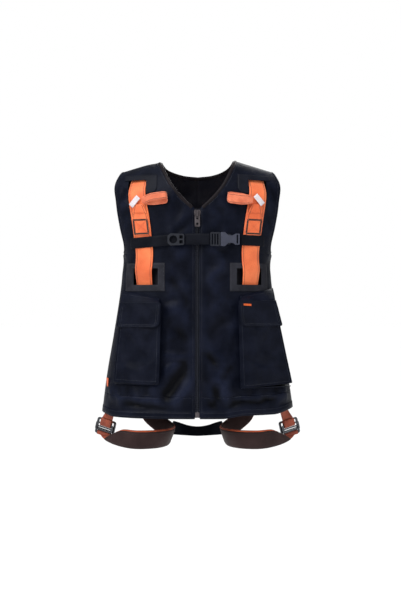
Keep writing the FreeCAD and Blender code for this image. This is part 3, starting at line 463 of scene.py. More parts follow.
class Thread:
    """Gathers the stitches of one thread colour on one body into one object."""

    def __init__(self):
        self.verts, self.faces = [], []

    def stitch(self, a, b, n, radius):
        t = unit(b - a)
        across = unit(np.cross(t, n))
        base = len(self.verts)
        self.verts.append(a)
        for share in (0.22, 0.78):
            middle = a + (b - a) * share
            for k in range(5):
                angle = 2 * math.pi * k / 5
                self.verts.append(middle + (across * math.cos(angle) + n * math.sin(angle) * 0.55) * radius)
        self.verts.append(b)
        ring1, ring2, last = base + 1, base + 6, base + 11
        for k in range(5):
            m = (k + 1) % 5
            self.faces.append((base, ring1 + k, ring1 + m))
            self.faces.append((ring1 + k, ring2 + k, ring2 + m, ring1 + m))
            self.faces.append((last, ring2 + m, ring2 + k))

    def row(self, line, normals, pitch=STITCH_PITCH, radius=STITCH_RADIUS, gap=0.32):
        """A row of stitches along a line of points with the surface's normals."""
        p, n = np.array(line, float), np.array(normals, float)
        d = lengths_along(p)
        count = int(d[-1] / pitch)

        def at(s):
            return np.array([np.interp(s, d, p[:, k]) for k in range(3)])

        for k in range(count):
            s = k * pitch
            i = min(int(np.searchsorted(d, s)), len(n) - 1)
            self.stitch(at(s), at(s + pitch * (1 - gap)), unit(n[i]), radius)

    def finish(self, name, material, body, slot):
        verts = np.array(self.verts)
        obj = new_object(name, verts, self.faces, verts[:, [0, 2]], [material])
        return placed(obj, body)


def placed(obj, body, replaces=()):
    """Puts a finished piece on its CAD body and hides the CAD parts it replaces."""
    if replaces:
        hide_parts(*replaces)
    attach(obj, body)
    return obj


# ======================================================================== materials
class Nodes:
    """A short way to write a material's node tree. Inputs may be values or other nodes' outputs."""

    def __init__(self, name):
        self.material = bpy.data.materials.new(name)
        self.material.use_nodes = True
        self.tree = self.material.node_tree
        self.tree.nodes.clear()
        self.shader = self.tree.nodes.new("ShaderNodeBsdfPrincipled")
        output = self.tree.nodes.new("ShaderNodeOutputMaterial")
        self.tree.links.new(self.shader.outputs[0], output.inputs["Surface"])

    def add(self, kind, settings=None, output=0, **inputs):
        node = self.tree.nodes.new("ShaderNode" + kind)
        for key, value in (settings or {}).items():
            setattr(node, key, value)
        for key, value in inputs.items():
            self.set(node, key.replace("_", " "), value)
        return node.outputs[output]

    def set(self, node, key, value):
        socket = node.inputs[int(key)] if key.isdigit() else node.inputs[key]
        if isinstance(value, bpy.types.NodeSocket):
            self.tree.links.new(value, socket)
        else:
            socket.default_value = value

    def math(self, operation, a, b=0.0):
        node = self.tree.nodes.new("ShaderNodeMath")
        node.operation = operation
        self.set(node, "0", a)
        self.set(node, "1", b)
        return node.outputs[0]

    def scaled(self, value, factor, offset=0.0):
        node = self.tree.nodes.new("ShaderNodeMath")
        node.operation = "MULTIPLY_ADD"
        self.set(node, "0", value)
        self.set(node, "1", factor)
        self.set(node, "2", offset)
        return node.outputs[0]

    def surface(self, **inputs):
        for key, value in inputs.items():
            self.set(self.shader, key.replace("_", " "), value)
        return self.material

    def uv_millimetres(self):
        """The cloth's own coordinates, across and along, in millimetres."""
        uv = self.add("UVMap", {"uv_map": "UVMap"})
        scaled = self.add("VectorMath", {"operation": "SCALE"}, Vector=uv, Scale=1000.0)
        split = self.tree.nodes.new("ShaderNodeSeparateXYZ")
        self.tree.links.new(scaled, split.inputs[0])
        return split.outputs[0], split.outputs[1]

    def place(self):
        return self.add("TexCoord", output=3)

    def noise(self, size_mm, detail=3.0, roughness=0.55):
        """Smooth random patches of about this size, from 0 to 1."""
        return self.add("TexNoise", Vector=self.place(), Scale=1000.0 / size_mm, Detail=detail,
                        Roughness=roughness)

    def ramp(self, factor, low, high, start=0.35, end=0.65):
        node = self.tree.nodes.new("ShaderNodeValToRGB")
        node.color_ramp.elements[0].position = start
        node.color_ramp.elements[0].color = (*low, 1)
        node.color_ramp.elements[1].position = end
        node.color_ramp.elements[1].color = (*high, 1)
        self.tree.links.new(factor, node.inputs[0])
        return node.outputs[0]

    def mix(self, factor, a, b, blend="MIX"):
        node = self.tree.nodes.new("ShaderNodeMix")
        node.data_type = "RGBA"
        node.blend_type = blend
        for key, value in ((0, factor), (6, a), (7, b)):
            if isinstance(value, bpy.types.NodeSocket):
                self.tree.links.new(value, node.inputs[key])
            else:
                node.inputs[key].default_value = value if key == 0 else (*value, 1)
        return node.outputs[2]

    def bump(self, height, distance_mm, strength=1.0, below=None):
        inputs = {"Height": height, "Distance": distance_mm * MM, "Strength": strength}
        if below is not None:
            inputs["Normal"] = below
        return self.add("Bump", **inputs)

    def twill(self, pitch_mm):
        """Fine diagonal ribs, 0 to 1."""
        u, v = self.uv_millimetres()
        slant = self.math("ADD", u, self.math("MULTIPLY", v, 0.8))
        return self.scaled(self.math("SINE", self.scaled(slant, 2 * math.pi / pitch_mm)), 0.5, 0.5)

    def herringbone(self, rib_mm, block_mm, slant=0.8):
        """The chevron ribs of woven webbing, 0 to 1."""
        u, v = self.uv_millimetres()
        side = self.math("PINGPONG", u, block_mm)
        phase = self.math("ADD", v, self.math("MULTIPLY", side, slant))
        return self.scaled(self.math("SINE", self.scaled(phase, 2 * math.pi / rib_mm)), 0.5, 0.5)

    def worn_edges(self):
        """1 on outer edges, where plating or moulding wears bright."""
        pointed = self.tree.nodes.new("ShaderNodeNewGeometry").outputs["Pointiness"]
        return self.add("MapRange", Value=pointed, From_Min=0.52, From_Max=0.60)


def fabric(name, dark, light, weave, weave_depth, patch_mm=38.0, roughness=0.62, sheen=0.25,
           sheen_tint=(1, 1, 1), wrinkle=0.5, specular=0.35, thread_contrast=0.35, paint_fold_light_and_shade=False):
    """Woven cloth: its weave in relief and in tone, soft patches of tone, and small wrinkles.
    weave is ("twill", pitch) or ("herringbone", rib, block), in millimetres."""
    m = Nodes(name)
    pattern = m.twill(weave[1]) if weave[0] == "twill" else m.herringbone(weave[1], weave[2])
    broad = m.noise(patch_mm, 2.0)
    colour = m.ramp(broad, dark, light, 0.36, 0.66)
    speck = m.noise(1.4, 2.0, 0.7)
    shade = m.scaled(pattern, thread_contrast, 1 - thread_contrast * 0.75)
    fleck = m.add("MapRange", Value=speck, From_Min=0.2, From_Max=0.8, To_Min=0.86, To_Max=1.14)
    flecked = m.math("MULTIPLY", shade, fleck)
    grey = m.add("CombineXYZ", X=flecked, Y=flecked, Z=flecked)
    tinted = m.mix(1.0, colour, grey, "MULTIPLY")
    # Painted shade and highlight: the base colour is darkened in the folds' valleys and lightened on their
    # ridges, following the relief attribute.
    if paint_fold_light_and_shade:
        relief = m.add("Attribute", {"attribute_name": "relief"}, output=2)
        tone = m.add("MapRange", Value=relief, From_Min=-4.2, From_Max=5.0, To_Min=0.20, To_Max=1.55)
        tinted = m.mix(1.0, tinted, m.add("CombineXYZ", X=tone, Y=tone, Z=tone), "MULTIPLY")
    crumple = m.bump(m.noise(17.0, 3.0, 0.5), wrinkle)
    woven = m.bump(pattern, weave_depth, 0.8, crumple)
    fuzzy = m.bump(speck, weave_depth * 0.6, 0.5, woven)
    rough = m.add("MapRange", Value=broad, To_Min=roughness - 0.07, To_Max=roughness + 0.07)
    return m.surface(Base_Color=tinted, Roughness=rough, Normal=fuzzy, Specular_IOR_Level=specular,
                     Sheen_Weight=sheen, Sheen_Roughness=0.45, Sheen_Tint=(*sheen_tint, 1))


def plastic(name, dark, light, roughness=0.42):
    """Moulded nylon with a fine spark texture and rubbed edges."""
    m = Nodes(name)
    grain = m.noise(0.5, 2.0, 0.6)
    base = m.ramp(m.noise(14.0), dark, light)
    worn = m.mix(m.math("MULTIPLY", m.worn_edges(), 0.35), base, tuple(min(1.0, c * 2.6) for c in light))
    rough = m.add("MapRange", Value=m.noise(6.0), To_Min=roughness - 0.08, To_Max=roughness + 0.1)
    return m.surface(Base_Color=worn, Roughness=rough, Normal=m.bump(grain, 0.05, 0.5),
                     Specular_IOR_Level=0.22)


def metal(name, dark, light, roughness=0.3, brush_mm=0.35):
    """Plated steel: brushed lines, cloudy plating and bright rubbed edges."""
    m = Nodes(name)
    stretch = m.add("Mapping", Vector=m.place(), Scale=(1.0, 1.0, 0.08))
    lines = m.add("TexNoise", Vector=stretch, Scale=1000.0 / brush_mm, Detail=2.0)
    clouds = m.noise(9.0)
    base = m.ramp(clouds, dark, light, 0.3, 0.7)
    worn = m.mix(m.math("MULTIPLY", m.worn_edges(), 0.6), base, tuple(min(1.0, c * 1.7) for c in light))
    rough = m.add("MapRange", Value=clouds, To_Min=roughness - 0.06, To_Max=roughness + 0.12)
    relief = m.bump(lines, 0.02, 0.5, m.bump(clouds, 0.12, 0.4))
    return m.surface(Base_Color=worn, Metallic=1.0, Roughness=rough, Normal=relief)


NAVY = (0.0026, 0.0038, 0.0095)
NAVY_LIGHT = (0.0060, 0.0078, 0.0170)
# The vest's cloth carries painted shade in its fold valleys and painted highlight on its ridges.
vest_cloth = fabric("vest_cloth", NAVY, NAVY_LIGHT, ("twill", 0.9), 0.05, roughness=0.44, sheen=0.0,
                    wrinkle=0.8, specular=0.055, paint_fold_light_and_shade=True)
# Near-black lining cloth. It is also put on the pockets' gussets and on the facings behind the openings as
# painted shade.
lining = fabric("lining", (0.0035, 0.0036, 0.0075), (0.0075, 0.0070, 0.0105), ("twill", 1.1), 0.04,
                roughness=0.6, sheen=0.0, wrinkle=0.8, specular=0.1)
binding_cloth = fabric("binding_cloth", (0.0050, 0.0038, 0.0055), (0.0100, 0.0070, 0.0085),
                       ("twill", 0.8), 0.05, roughness=0.5, sheen=0.01, sheen_tint=(1.0, 0.7, 0.65),
                       wrinkle=0.3, specular=0.1)
patch_cloth = fabric("patch_cloth", (0.0105, 0.0108, 0.0155), (0.022, 0.0224, 0.0300),
                     ("herringbone", 1.5, 3.0), 0.07, roughness=0.7, sheen=0.0, wrinkle=0.3,
                     specular=0.12)
yoke_cloth = fabric("yoke_cloth", (0.0018, 0.0026, 0.0070), (0.0042, 0.0054, 0.0115), ("twill", 1.0),
                    0.06, roughness=0.58, sheen=0.0, wrinkle=0.5, specular=0.12)
orange_webbing = fabric("orange_webbing", (0.64, 0.108, 0.028), (0.82, 0.185, 0.058),
                        ("herringbone", 1.7, 3.2), 0.16, patch_mm=55.0, roughness=0.58, sheen=0.35,
                        sheen_tint=(1.0, 0.75, 0.55), wrinkle=0.25)
loop_webbing = fabric("loop_webbing", (0.58, 0.118, 0.048), (0.72, 0.185, 0.088),
                      ("herringbone", 1.3, 2.4), 0.13, patch_mm=24.0, roughness=0.55, sheen=0.30,
                      sheen_tint=(1.0, 0.85, 0.8), wrinkle=0.25)
# A darker copy of the orange webbing: painted shade for the hip, drop and leg webbing, under and below the
# vest.
shaded_orange_webbing = fabric("shaded_orange_webbing", (0.17, 0.030, 0.014), (0.30, 0.058, 0.026),
                      ("herringbone", 1.7, 3.2), 0.16, patch_mm=20.0, roughness=0.62, sheen=0.08,
                      sheen_tint=(1.0, 0.7, 0.5), wrinkle=0.3)
black_webbing = fabric("black_webbing", (0.0024, 0.0030, 0.0060), (0.0052, 0.0060, 0.0100),
                       ("herringbone", 1.5, 2.4), 0.12, roughness=0.55, sheen=0.0, wrinkle=0.2,
                       specular=0.06)
brown_sleeve = fabric("brown_sleeve", (0.0190, 0.0092, 0.0090), (0.0320, 0.0172, 0.0170),
                      ("herringbone", 1.2, 60.0), 0.08, patch_mm=60.0, roughness=0.6, sheen=0.05,
                      sheen_tint=(1.0, 0.8, 0.75), wrinkle=0.4, specular=0.10)
label_cloth = fabric("label_cloth", (0.58, 0.53, 0.56), (0.70, 0.65, 0.68), ("twill", 0.5), 0.03,
                     roughness=0.5, sheen=0.2, wrinkle=0.2)
tab_cloth = fabric("tab_cloth", (0.46, 0.060, 0.003), (0.60, 0.090, 0.006), ("twill", 0.6), 0.04,
                   roughness=0.7, wrinkle=0.2)
dark_thread = fabric("dark_thread", (0.040, 0.010, 0.007), (0.070, 0.018, 0.013), ("twill", 0.4), 0.02,
                     roughness=0.55, wrinkle=0.05)
navy_thread = fabric("navy_thread", (0.0095, 0.012, 0.022), (0.016, 0.020, 0.034), ("twill", 0.4), 0.02,
                     roughness=0.45, sheen=0.1, wrinkle=0.05)
# Lighter thread for the rows beside the teeth, which also serve as painted glints of the teeth.
zip_thread_and_glints = fabric("zip_thread_and_glints", (0.030, 0.036, 0.060), (0.048, 0.057, 0.088), ("twill", 0.4), 0.02,
                    roughness=0.45, sheen=0.1, wrinkle=0.05)
black_thread = fabric("black_thread", (0.010, 0.0035, 0.0035), (0.018, 0.0065, 0.006), ("twill", 0.4),
                      0.02, roughness=0.5, wrinkle=0.05)
orange_thread = fabric("orange_thread", (0.30, 0.05, 0.02), (0.42, 0.08, 0.03), ("twill", 0.4), 0.02,
                       roughness=0.5, wrinkle=0.05)
black_plastic = plastic("black_plastic", (0.0045, 0.0052, 0.0080), (0.0090, 0.0100, 0.0140))
grey_plastic = plastic("grey_plastic", (0.015, 0.017, 0.025), (0.027, 0.029, 0.042), roughness=0.38)
tooth_plastic = plastic("tooth_plastic", (0.0030, 0.0038, 0.0080), (0.0060, 0.0072, 0.0125),
                        roughness=0.35)
zip_metal = metal("zip_metal", (0.036, 0.033, 0.036), (0.100, 0.088, 0.094), roughness=0.34)
harness_steel = metal("harness_steel", (0.030, 0.031, 0.035), (0.070, 0.072, 0.080), roughness=0.3)
ring_steel = metal("ring_steel", (0.30, 0.30, 0.30), (0.48, 0.48, 0.47), roughness=0.3)


def line_on(name, share, first=0.0, last=1.0, lift=STITCH_LIFT):
    """Points and normals along a slab, at this share of its width."""
    outer, n = surfaces[name]
    rows, cols = outer.shape[:2]
    i = min(int(share * (rows - 1)), rows - 2)
    t = share * (rows - 1) - i
    span = slice(int(first * (cols - 1)), int(last * (cols - 1)) + 1)
    points = outer[i, span] * (1 - t) + outer[i + 1, span] * t
    return points + n[i, span] * lift, n[i, span]


def column_on(name, share, first=0.0, last=1.0, lift=STITCH_LIFT):
    """Points and normals across a slab, at this share of its length."""
    outer, n = surfaces[name]
    rows, cols = outer.shape[:2]
    j = min(int(share * (cols - 1)), cols - 2)
    t = share * (cols - 1) - j
    span = slice(int(first * (rows - 1)), int(last * (rows - 1)) + 1)
    points = outer[span, j] * (1 - t) + outer[span, j + 1] * t
    return points + n[span, j] * lift, n[span, j]


def vest_line(stations, face, off, step=4.0):
    """Points and normals on the hung cloth along a line of (x, z) stations."""
    line = resample([(x, z, 0.0) for x, z in stations], step)
    points = np.array([on_vest(x, z, face, off) for x, z, _ in line])
    return points, np.array([body_normal(x, z, face) for x, z, _ in line])


def edge_rows(thread, name, shares, first=0.0, last=1.0, **stitch):
    """A row of stitches along a slab at each of these shares of its width."""
    for share in shares:
        thread.row(*line_on(name, share, first, last), **stitch)


navy, dark, black, orange, zip_rows, black_legs = (Thread() for _ in range(6))


# ======================================================================== cloth simulation
def settled(points, held, grow, cap, stiffness=12.0, frames=18):
    """The grid after its cloth, cut a little larger than its place, has buckled between its held points."""
    p = np.array(points, float)
    rows, cols = p.shape[:2]
    quads = [(i * cols + j, i * cols + j + 1, (i + 1) * cols + j + 1, (i + 1) * cols + j)
             for i in range(rows - 1) for j in range(cols - 1)]
    flat = p.reshape(-1, 3)
    obj = new_object("settling", flat, quads, flat[:, [0, 2]], [])
    group = obj.vertex_groups.new(name="held")
    for k, weight in enumerate(np.asarray(held, float).ravel()):
        if weight > 0.02:
            group.add([k], float(min(weight, 1.0)), "REPLACE")
    cloth = obj.modifiers.new("cloth", "CLOTH")
    cloth.settings.quality = 6
    cloth.settings.mass = 0.25
    cloth.settings.tension_stiffness = stiffness
    cloth.settings.compression_stiffness = stiffness
    cloth.settings.shear_stiffness = stiffness / 2
    cloth.settings.bending_stiffness = 0.35
    cloth.settings.shrink_min = -grow
    cloth.settings.vertex_group_mass = "held"
    cloth.settings.pin_stiffness = 1.0
    cloth.settings.effector_weights.gravity = 0.15
    cloth.point_cache.frame_end = frames
    for step in range(1, frames + 1):
        bpy.context.scene.frame_set(step)
    made = obj.evaluated_get(bpy.context.evaluated_depsgraph_get()).to_mesh()
    after = np.empty(len(made.vertices) * 3)
    made.vertices.foreach_get("co", after)
    moved = after.reshape(rows, cols, 3) / MM - p
    bpy.data.objects.remove(obj)
    bpy.context.scene.frame_set(1)
    for _ in range(3):
        moved = 0.5 * moved + 0.125 * neighbour_sum(moved)
    length = np.maximum(np.linalg.norm(moved, axis=2, keepdims=True), 1e-6)
    moved *= np.minimum(1.0, cap / length)
    return p + moved


# ======================================================================== vest panels
def turned(share):
    return math.asin(min(share, 1.0) ** (SQUARENESS / 2))


def armhole_share(z):
    if z <= ARMHOLE_BOTTOM_Z:
        return 1.0
    fall = max(0.0, (ARMHOLE_BEND_Z - z) / (ARMHOLE_BEND_Z - ARMHOLE_BOTTOM_Z))
    return ARMHOLE_TOP_SHARE + (1 - ARMHOLE_TOP_SHARE) * (1 - math.sqrt(1 - fall**2))


def panel_rows():
    """(drop, share of the shoulder slope) of a panel's rows. Seam and hem have rows of their own."""
    angles = np.concatenate([[0.25], np.arange(3.0, 88.0, 3.0), [88.0]])
    shares = np.interp(angles, (0.25, 52, 55, 58, 76, 88), (1, 1, 0.85, 0.7, 0.3, 0.12))
    rows = [(DOME_DROP * (1 - math.cos(math.radians(a))), s) for a, s in zip(angles, shares)]
    last = rows[-1][0]
    levels = list(np.linspace(last + CELL, -LOWER_SEAM_Z - 3, int((-LOWER_SEAM_Z - last) / CELL)))
    levels += [-LOWER_SEAM_Z - 1.2, -LOWER_SEAM_Z, -LOWER_SEAM_Z + 1.2, -LOWER_SEAM_Z + 4]
    top_of_band = -HEM_Z - HEM_BAND
    levels += list(np.linspace(-LOWER_SEAM_Z + 9, top_of_band - 2, 5)) + [top_of_band, top_of_band + 1.0]
    levels += [top_of_band + 6, top_of_band + 11, -HEM_Z]
    return rows + [(level, float(np.interp(level, (last, -ZIP_TOP_Z), (0.12, 0)))) for level in levels]


def front_inner_x(z):
    return max(through(z, V_NECK), FRONT_EDGE_X)


def row_place(inner_x, t, drop, slope_share):
    """(x, z) on a front panel's row: t runs from the inner edge at 0 to the armhole or side seam at 1."""
    z = -drop
    for _ in range(6):
        width = half_width(z)
        inner = turned(inner_x(z) / width)
        angle = inner + t * (turned(armhole_share(z)) - inner)
        x = width * math.sin(angle) ** (2 / SQUARENESS)
        z = slope_share * shoulder_line(x) - drop
    return x, z


def front_places(columns):
    shares = [j / (columns - 1) for j in range(columns)]
    return [[row_place(front_inner_x, share, *row) for share in shares] for row in panel_rows()]


def back_places(columns):
    """The back panel's grid hangs from its top edge: half the neckline, then the shoulder."""
    neck_count = columns * 2 // 5
    neck = spread([(x, z) for z, x in reversed(BACK_NECK)], neck_count)
    tip = row_place(front_inner_x, 1.0, 0.25, 1.0)[0]
    top = [(max(x, 0.01), z) for x, z in neck[:-1]]
    top += [(x, shoulder_line(x) - 0.25) for x in np.linspace(NECK_X, tip, columns - neck_count + 1)]
    rows = []
    for drop, slope_share in panel_rows():
        row = []
        for x0, z0 in top:
            share = turned(x0 / half_width(z0)) / turned(armhole_share(z0))
            start = max(shoulder_line(x0) - z0, 0.25) - 0.25
            level = drop + start * (1 - smoothstep(0, 230, drop))
            x = x0
            for _ in range(6):
                z = slope_share * shoulder_line(x) - level
                x = half_width(z) * math.sin(share * turned(armhole_share(z))) ** (2 / SQUARENESS)
            row.append((x, z))
        rows.append(row)
    return rows


RELIEF_PASSES = 24          # more of them take in a wider stretch of the cloth around each point


def mark_relief(obj, points, places, side, face):
    """Stores how far each point stands above (or lies below) the cloth around it. The cloth's material uses
    it to paint shade into the fold valleys and highlight onto the ridges.
    """
    lift = np.array([[np.dot(p - sway(side * x, z) - torso(side * x, z, face), body_normal(side * x, z, face))
                      for p, (x, z) in zip(row, marks)] for row, marks in zip(points, places)])
    around = lift.copy()
    for _ in range(RELIEF_PASSES):
        around = neighbour_sum(around) / 4
    relief = (lift - around).ravel()
    values = np.zeros(len(obj.data.vertices), np.float32)
    values[:len(relief)] = relief
    attribute = obj.data.attributes.new("relief", "FLOAT", "POINT")
    attribute.data.foreach_set("value", values)


def panel(side, face, columns):
    """One vest panel as a slab of cloth, with folds, seam groove, hem band and buckled wrinkles."""
    word = "left" if side == LEFT else "right"
    name = f"{'front' if face == FRONT else 'back'}_cloth_{word}"
    rows = panel_rows()
    places = front_places(columns) if face == FRONT else back_places(columns)
    points = np.array([[on_vest(side * x, z, face) for x, z in row] for row in places])
    free = np.array([[fold_strength(side * x, z, face) for x, z in row] for row in places])
    free[:, [0, 1, -1]] = 0.0
    free[[0, 1, -1, -2], :] = 0.0
    buckled = settled(points, 1 - free, 0.045, FOLD_CAP)
    moved = (buckled - points) * free[..., None]
    normals = grid_normals(points, (0, 0, -400))
    inward = np.minimum(np.sum(moved * normals, axis=2) + 1.2, 0.0)
    points = points + moved - normals * inward[..., None]
    high = np.full(points.shape[:2], CLOTH)
    for i, (drop, share) in enumerate(rows):
        if share == 0.0 and abs(-drop - LOWER_SEAM_Z) < 0.5:
            high[i] -= 0.9
        if share == 0.0 and -drop <= HEM_Z + HEM_BAND - 0.5:
            high[i] += 0.8
    across = distances_along(points, 1)
    uv = np.stack([side * (across + FRONT_EDGE_X), points[..., 2]], axis=2)
    obj = slab(name, points, 0.0, high, [vest_cloth, lining], uv=uv)
    mark_relief(obj, points, places, side, face)
    return obj


def sewn_edge(side, face, edge, last_z, inset):
    """Points set in from a panel's "neck" or "armhole" edge, with normals, from the shoulder down."""
    if edge == "neck" and face == BACK:
        places = [(x, z) for x, z in spread([(x, z) for z, x in BACK_NECK], 26)]
        inward = [(x - 0.4 * (NECK_X - x) * x / NECK_X / NECK_X, z - 8) for x, z in places]
    else:
        t, t_in = (0.0, 0.05) if edge == "neck" else (1.0, 0.95)
        places = [row_place(front_inner_x, t, drop, share) for drop, share in panel_rows()]
        inward = [row_place(front_inner_x, t_in, drop, share) for drop, share in panel_rows()]
    line, normals = [], []
    for (x, z), (x2, z2) in zip(places, inward):
        if z < last_z:
            break
        here, inner = torso(side * x, z, face), torso(side * x2, z2, face)
        n = body_normal(side * x, min(z, shoulder_line(x) - 0.6), face)
        line.append(here + unit(inner - here) * inset + n * CLOTH / 2 + sway(side * x, z))
        normals.append(n)
    return line, normals


def bound_edge(name, parts, material, replaces, width=9.0, height=5.4):
    """A binding along panel edges that follow one another. Each part may run backwards."""
    line, normals = [], []
    for (points, ns), backwards in parts:
        line += points[::-1] if backwards else points
        normals += ns[::-1] if backwards else ns
    clean, clean_n = [line[0]], [normals[0]]
    for p, n in zip(line[1:], normals[1:]):
        if np.linalg.norm(p - clean[-1]) > 2.5:
            clean.append(p)
            clean_n.append(n)
    obj = bead(name, clean, clean_n, [material], width, height)
    return placed(obj, "vest", replaces)


def make_panels():
    for side, word in SIDES:
        front = panel(side, FRONT, FRONT_COLUMNS)
        cut_out(front, [(sorted((side * x[0], side * x[1])), THROUGH_FRONT, z)
                        for x, z in ((SLOT_X, SLOT_Z), (WINDOW_X, WINDOW_Z))])
        placed(front, "vest", [f"front_panel_{word}"])
        back = panel(side, BACK, BACK_COLUMNS)
        cut_out(back, [((-DORSAL_HALF_X, DORSAL_HALF_X), THROUGH_BACK, DORSAL_Z)])
        placed(back, "vest", ["back_panel"])
    front_edges = {side: sewn_edge(side, FRONT, "neck", ZIP_TOP_Z - 2, 3.4) for side, _ in SIDES}
    back_edges = {side: sewn_edge(side, BACK, "neck", -200, 3.4) for side, _ in SIDES}
    bound_edge("neck_binding", [(front_edges[LEFT], True), (back_edges[LEFT], False),
                                (back_edges[RIGHT], True), (front_edges[RIGHT], False)],
               binding_cloth, ["neck_facing"])
    for side, word in SIDES:
        front_edge = sewn_edge(side, FRONT, "armhole", ARMHOLE_BOTTOM_Z, 3.6)
        back_edge = sewn_edge(side, BACK, "armhole", ARMHOLE_BOTTOM_Z, 3.6)
        bound_edge(f"armhole_binding_{word}", [(front_edge, True), (back_edge, False)],
                   vest_cloth, ["armhole_facings"], width=8.0, height=5.0)


def stitch_panels():
    """Topstitching beside the zip, along seam and hem, and round neck and armholes."""
    edges = (("neck", ZIP_TOP_Z + 4, 10.5), ("armhole", ARMHOLE_BOTTOM_Z + 4, 9.5))
    middle_seams = ((BACK_NECK[-1][0] - 10, DORSAL_Z[1] + DORSAL_BORDER + 2),
                    (DORSAL_Z[0] - DORSAL_BORDER - 2, HEM_Z + HEM_BAND))
    for side, _ in SIDES:
        stations = [(side * ZIP_STITCH_X, z) for z in (ZIP_TOP_Z - 4, -400, HEM_Z + 3)]
        navy.row(*vest_line(stations, FRONT, CLOTH))
        for face in (FRONT, BACK):
            for z, lift in ((LOWER_SEAM_Z - 3.5, 0.1), (HEM_Z + HEM_BAND - 3.0, 0.9), (HEM_Z + 3.5, 0.9)):
                inner = 16.0 if face == FRONT else 1.0
                outer = 0.985 * half_width(z)
                stations = [(side * (inner + (outer - inner) * k / 8), z) for k in range(9)]
                navy.row(*vest_line(stations, face, CLOTH + lift))
            for edge, last_z, inset in edges:
                line, normals = sewn_edge(side, face, edge, last_z, inset)
                lifted = [p + n * (CLOTH / 2 + STITCH_LIFT) for p, n in zip(line[1:], normals[1:])]
                navy.row(lifted, normals[1:])
        for top, bottom in middle_seams:
            stations = [(side * MIDDLE_STITCH_X, top), (side * MIDDLE_STITCH_X, bottom)]
            navy.row(*vest_line(stations, BACK, CLOTH + 0.1))


# ======================================================================== patches
def patch(name, x, z, face, materials, off=CLOTH + PATCH_OFF, thick=1.0, round_inner=0.0, side=LEFT):
    """Cloth sewn on the outside of a panel, between bounds. Its lower inner corner may be rounded."""
    rows, cols = 12, 22
    grid = []
    for i in range(rows):
        level = z[0] + (z[1] - z[0]) * i / (rows - 1)
        cut = 0.0
        if round_inner and level < z[0] + round_inner:
            cut = round_inner - math.sqrt(max(0.0, round_inner**2 - (z[0] + round_inner - level) ** 2))
        low, high = x[0] + cut, x[1]
        grid.append([on_vest(side * (low + (high - low) * j / (cols - 1)), level, face) for j in range(cols)])
    return slab(name, grid, off, off + thick, materials)


def outline_stitches(thread, x, z, face, off, inset=3.0, side=LEFT):
    """A row of stitches inside the outline of a patch."""
    a, b = x[0] + inset, x[1] - inset
    c, d = z[0] + inset, z[1] - inset
    for start, end in (((a, c), (b, c)), ((b, c), (b, d)), ((b, d), (a, d)), ((a, d), (a, c))):
        middle = ((start[0] + end[0]) / 2, (start[1] + end[1]) / 2)
        thread.row(*vest_line([(side * px, pz) for px, pz in (start, middle, end)], face, off))


def shade_facing(name, side, x_span, z_span):
    """A facing of near-black lining cloth behind an opening in a front panel, clear of the webbing inside it:
    painted shade for the inside of the vest seen through the opening.
    """
    across = np.linspace(x_span[0] - BACKING_MARGIN, x_span[1] + BACKING_MARGIN, 12)
    heights = np.linspace(z_span[0] - BACKING_MARGIN, z_span[1] + BACKING_MARGIN, 8)
    rows = [[torso(side * x, z, FRONT) for x in across] for z in heights]
    placed(slab(name, rows, *BACKING_OFF, [lining]), "vest")


def make_patches():
    top = CLOTH + PATCH_OFF + 1.1
    for side, word in SIDES:
        window = patch(f"window_frame_{word}", WINDOW_PATCH_X, WINDOW_PATCH_Z, FRONT, [patch_cloth],
                       side=side)
        cut_out(window, [(sorted((side * WINDOW_X[0], side * WINDOW_X[1])), THROUGH_FRONT, WINDOW_Z)])
        placed(window, "vest", [f"window_patch_{word}"])
        # Near-black facings behind the window and the slot: painted shade inside the vest.
        shade_facing(f"window_shade_facing_{word}", side, WINDOW_X, WINDOW_Z)
        shade_facing(f"slot_shade_facing_{word}", side, (SLOT_X[0], SLOT_X[1] + SLOT_BACKING_EXTRA), SLOT_Z)
        outline_stitches(navy, WINDOW_PATCH_X, WINDOW_PATCH_Z, FRONT, top, side=side)
        outline_stitches(navy, WINDOW_X, WINDOW_Z, FRONT, top, inset=-3.0, side=side)
        yoke = patch(f"yoke_{word}", YOKE_PATCH_X, YOKE_PATCH_Z, FRONT, [yoke_cloth], round_inner=16.0,
                     side=side)
        notch = sorted((side * (SLOT_X[0] + 3.0), side * 190))
        cut_out(yoke, [(notch, THROUGH_FRONT, (-100, SLOT_Z[1]))])
        placed(yoke, "vest", [f"shoulder_patch_{word}"])
    x = (-DORSAL_HALF_X - DORSAL_BORDER, DORSAL_HALF_X + DORSAL_BORDER)
    z = (DORSAL_Z[0] - DORSAL_BORDER, DORSAL_Z[1] + DORSAL_BORDER)
    dorsal = patch("dorsal_frame", x, z, BACK, [patch_cloth])
    cut_out(dorsal, [((-DORSAL_HALF_X, DORSAL_HALF_X), THROUGH_BACK, DORSAL_Z)])
    placed(dorsal, "vest", ["dorsal_patch"])
    outline_stitches(navy, x, z, BACK, top)
    outline_stitches(navy, (-DORSAL_HALF_X, DORSAL_HALF_X), DORSAL_Z, BACK, top, inset=-4.0)


# ======================================================================== zip
class Basis:
    """A local frame: u and v lie in a piece's plane and n is its normal, all in millimetres."""

    def __init__(self, origin, u, v, outward=None):
        self.origin = vec(*origin)
        self.u = unit(u)
        self.v = unit(np.asarray(v, float) - self.u * np.dot(self.u, v))
        self.n = np.cross(self.u, self.v)
        if outward is not None and np.dot(self.n, outward) < 0:
            self.n = -self.n

    def at(self, u, v, n=0.0):
        return self.origin + self.u * u + self.v * v + self.n * n


TOOTH_PITCH = 2.6
TOOTH_MIDDLE = 1.15
TOOTH_PLAN = ((3.6, 0.5), (0.9, 0.42), (0.3, 0.78), (-0.9, 0.7), (-1.25, 0.0),
              (-0.9, -0.7), (0.3, -0.78), (0.9, -0.42), (3.6, -0.5))


def zip_basis(z):
    return Basis(torso(0, z, FRONT), (1, 0, 0), (0, FRONT_LEAN, 1), outward=(0, -1, 0))


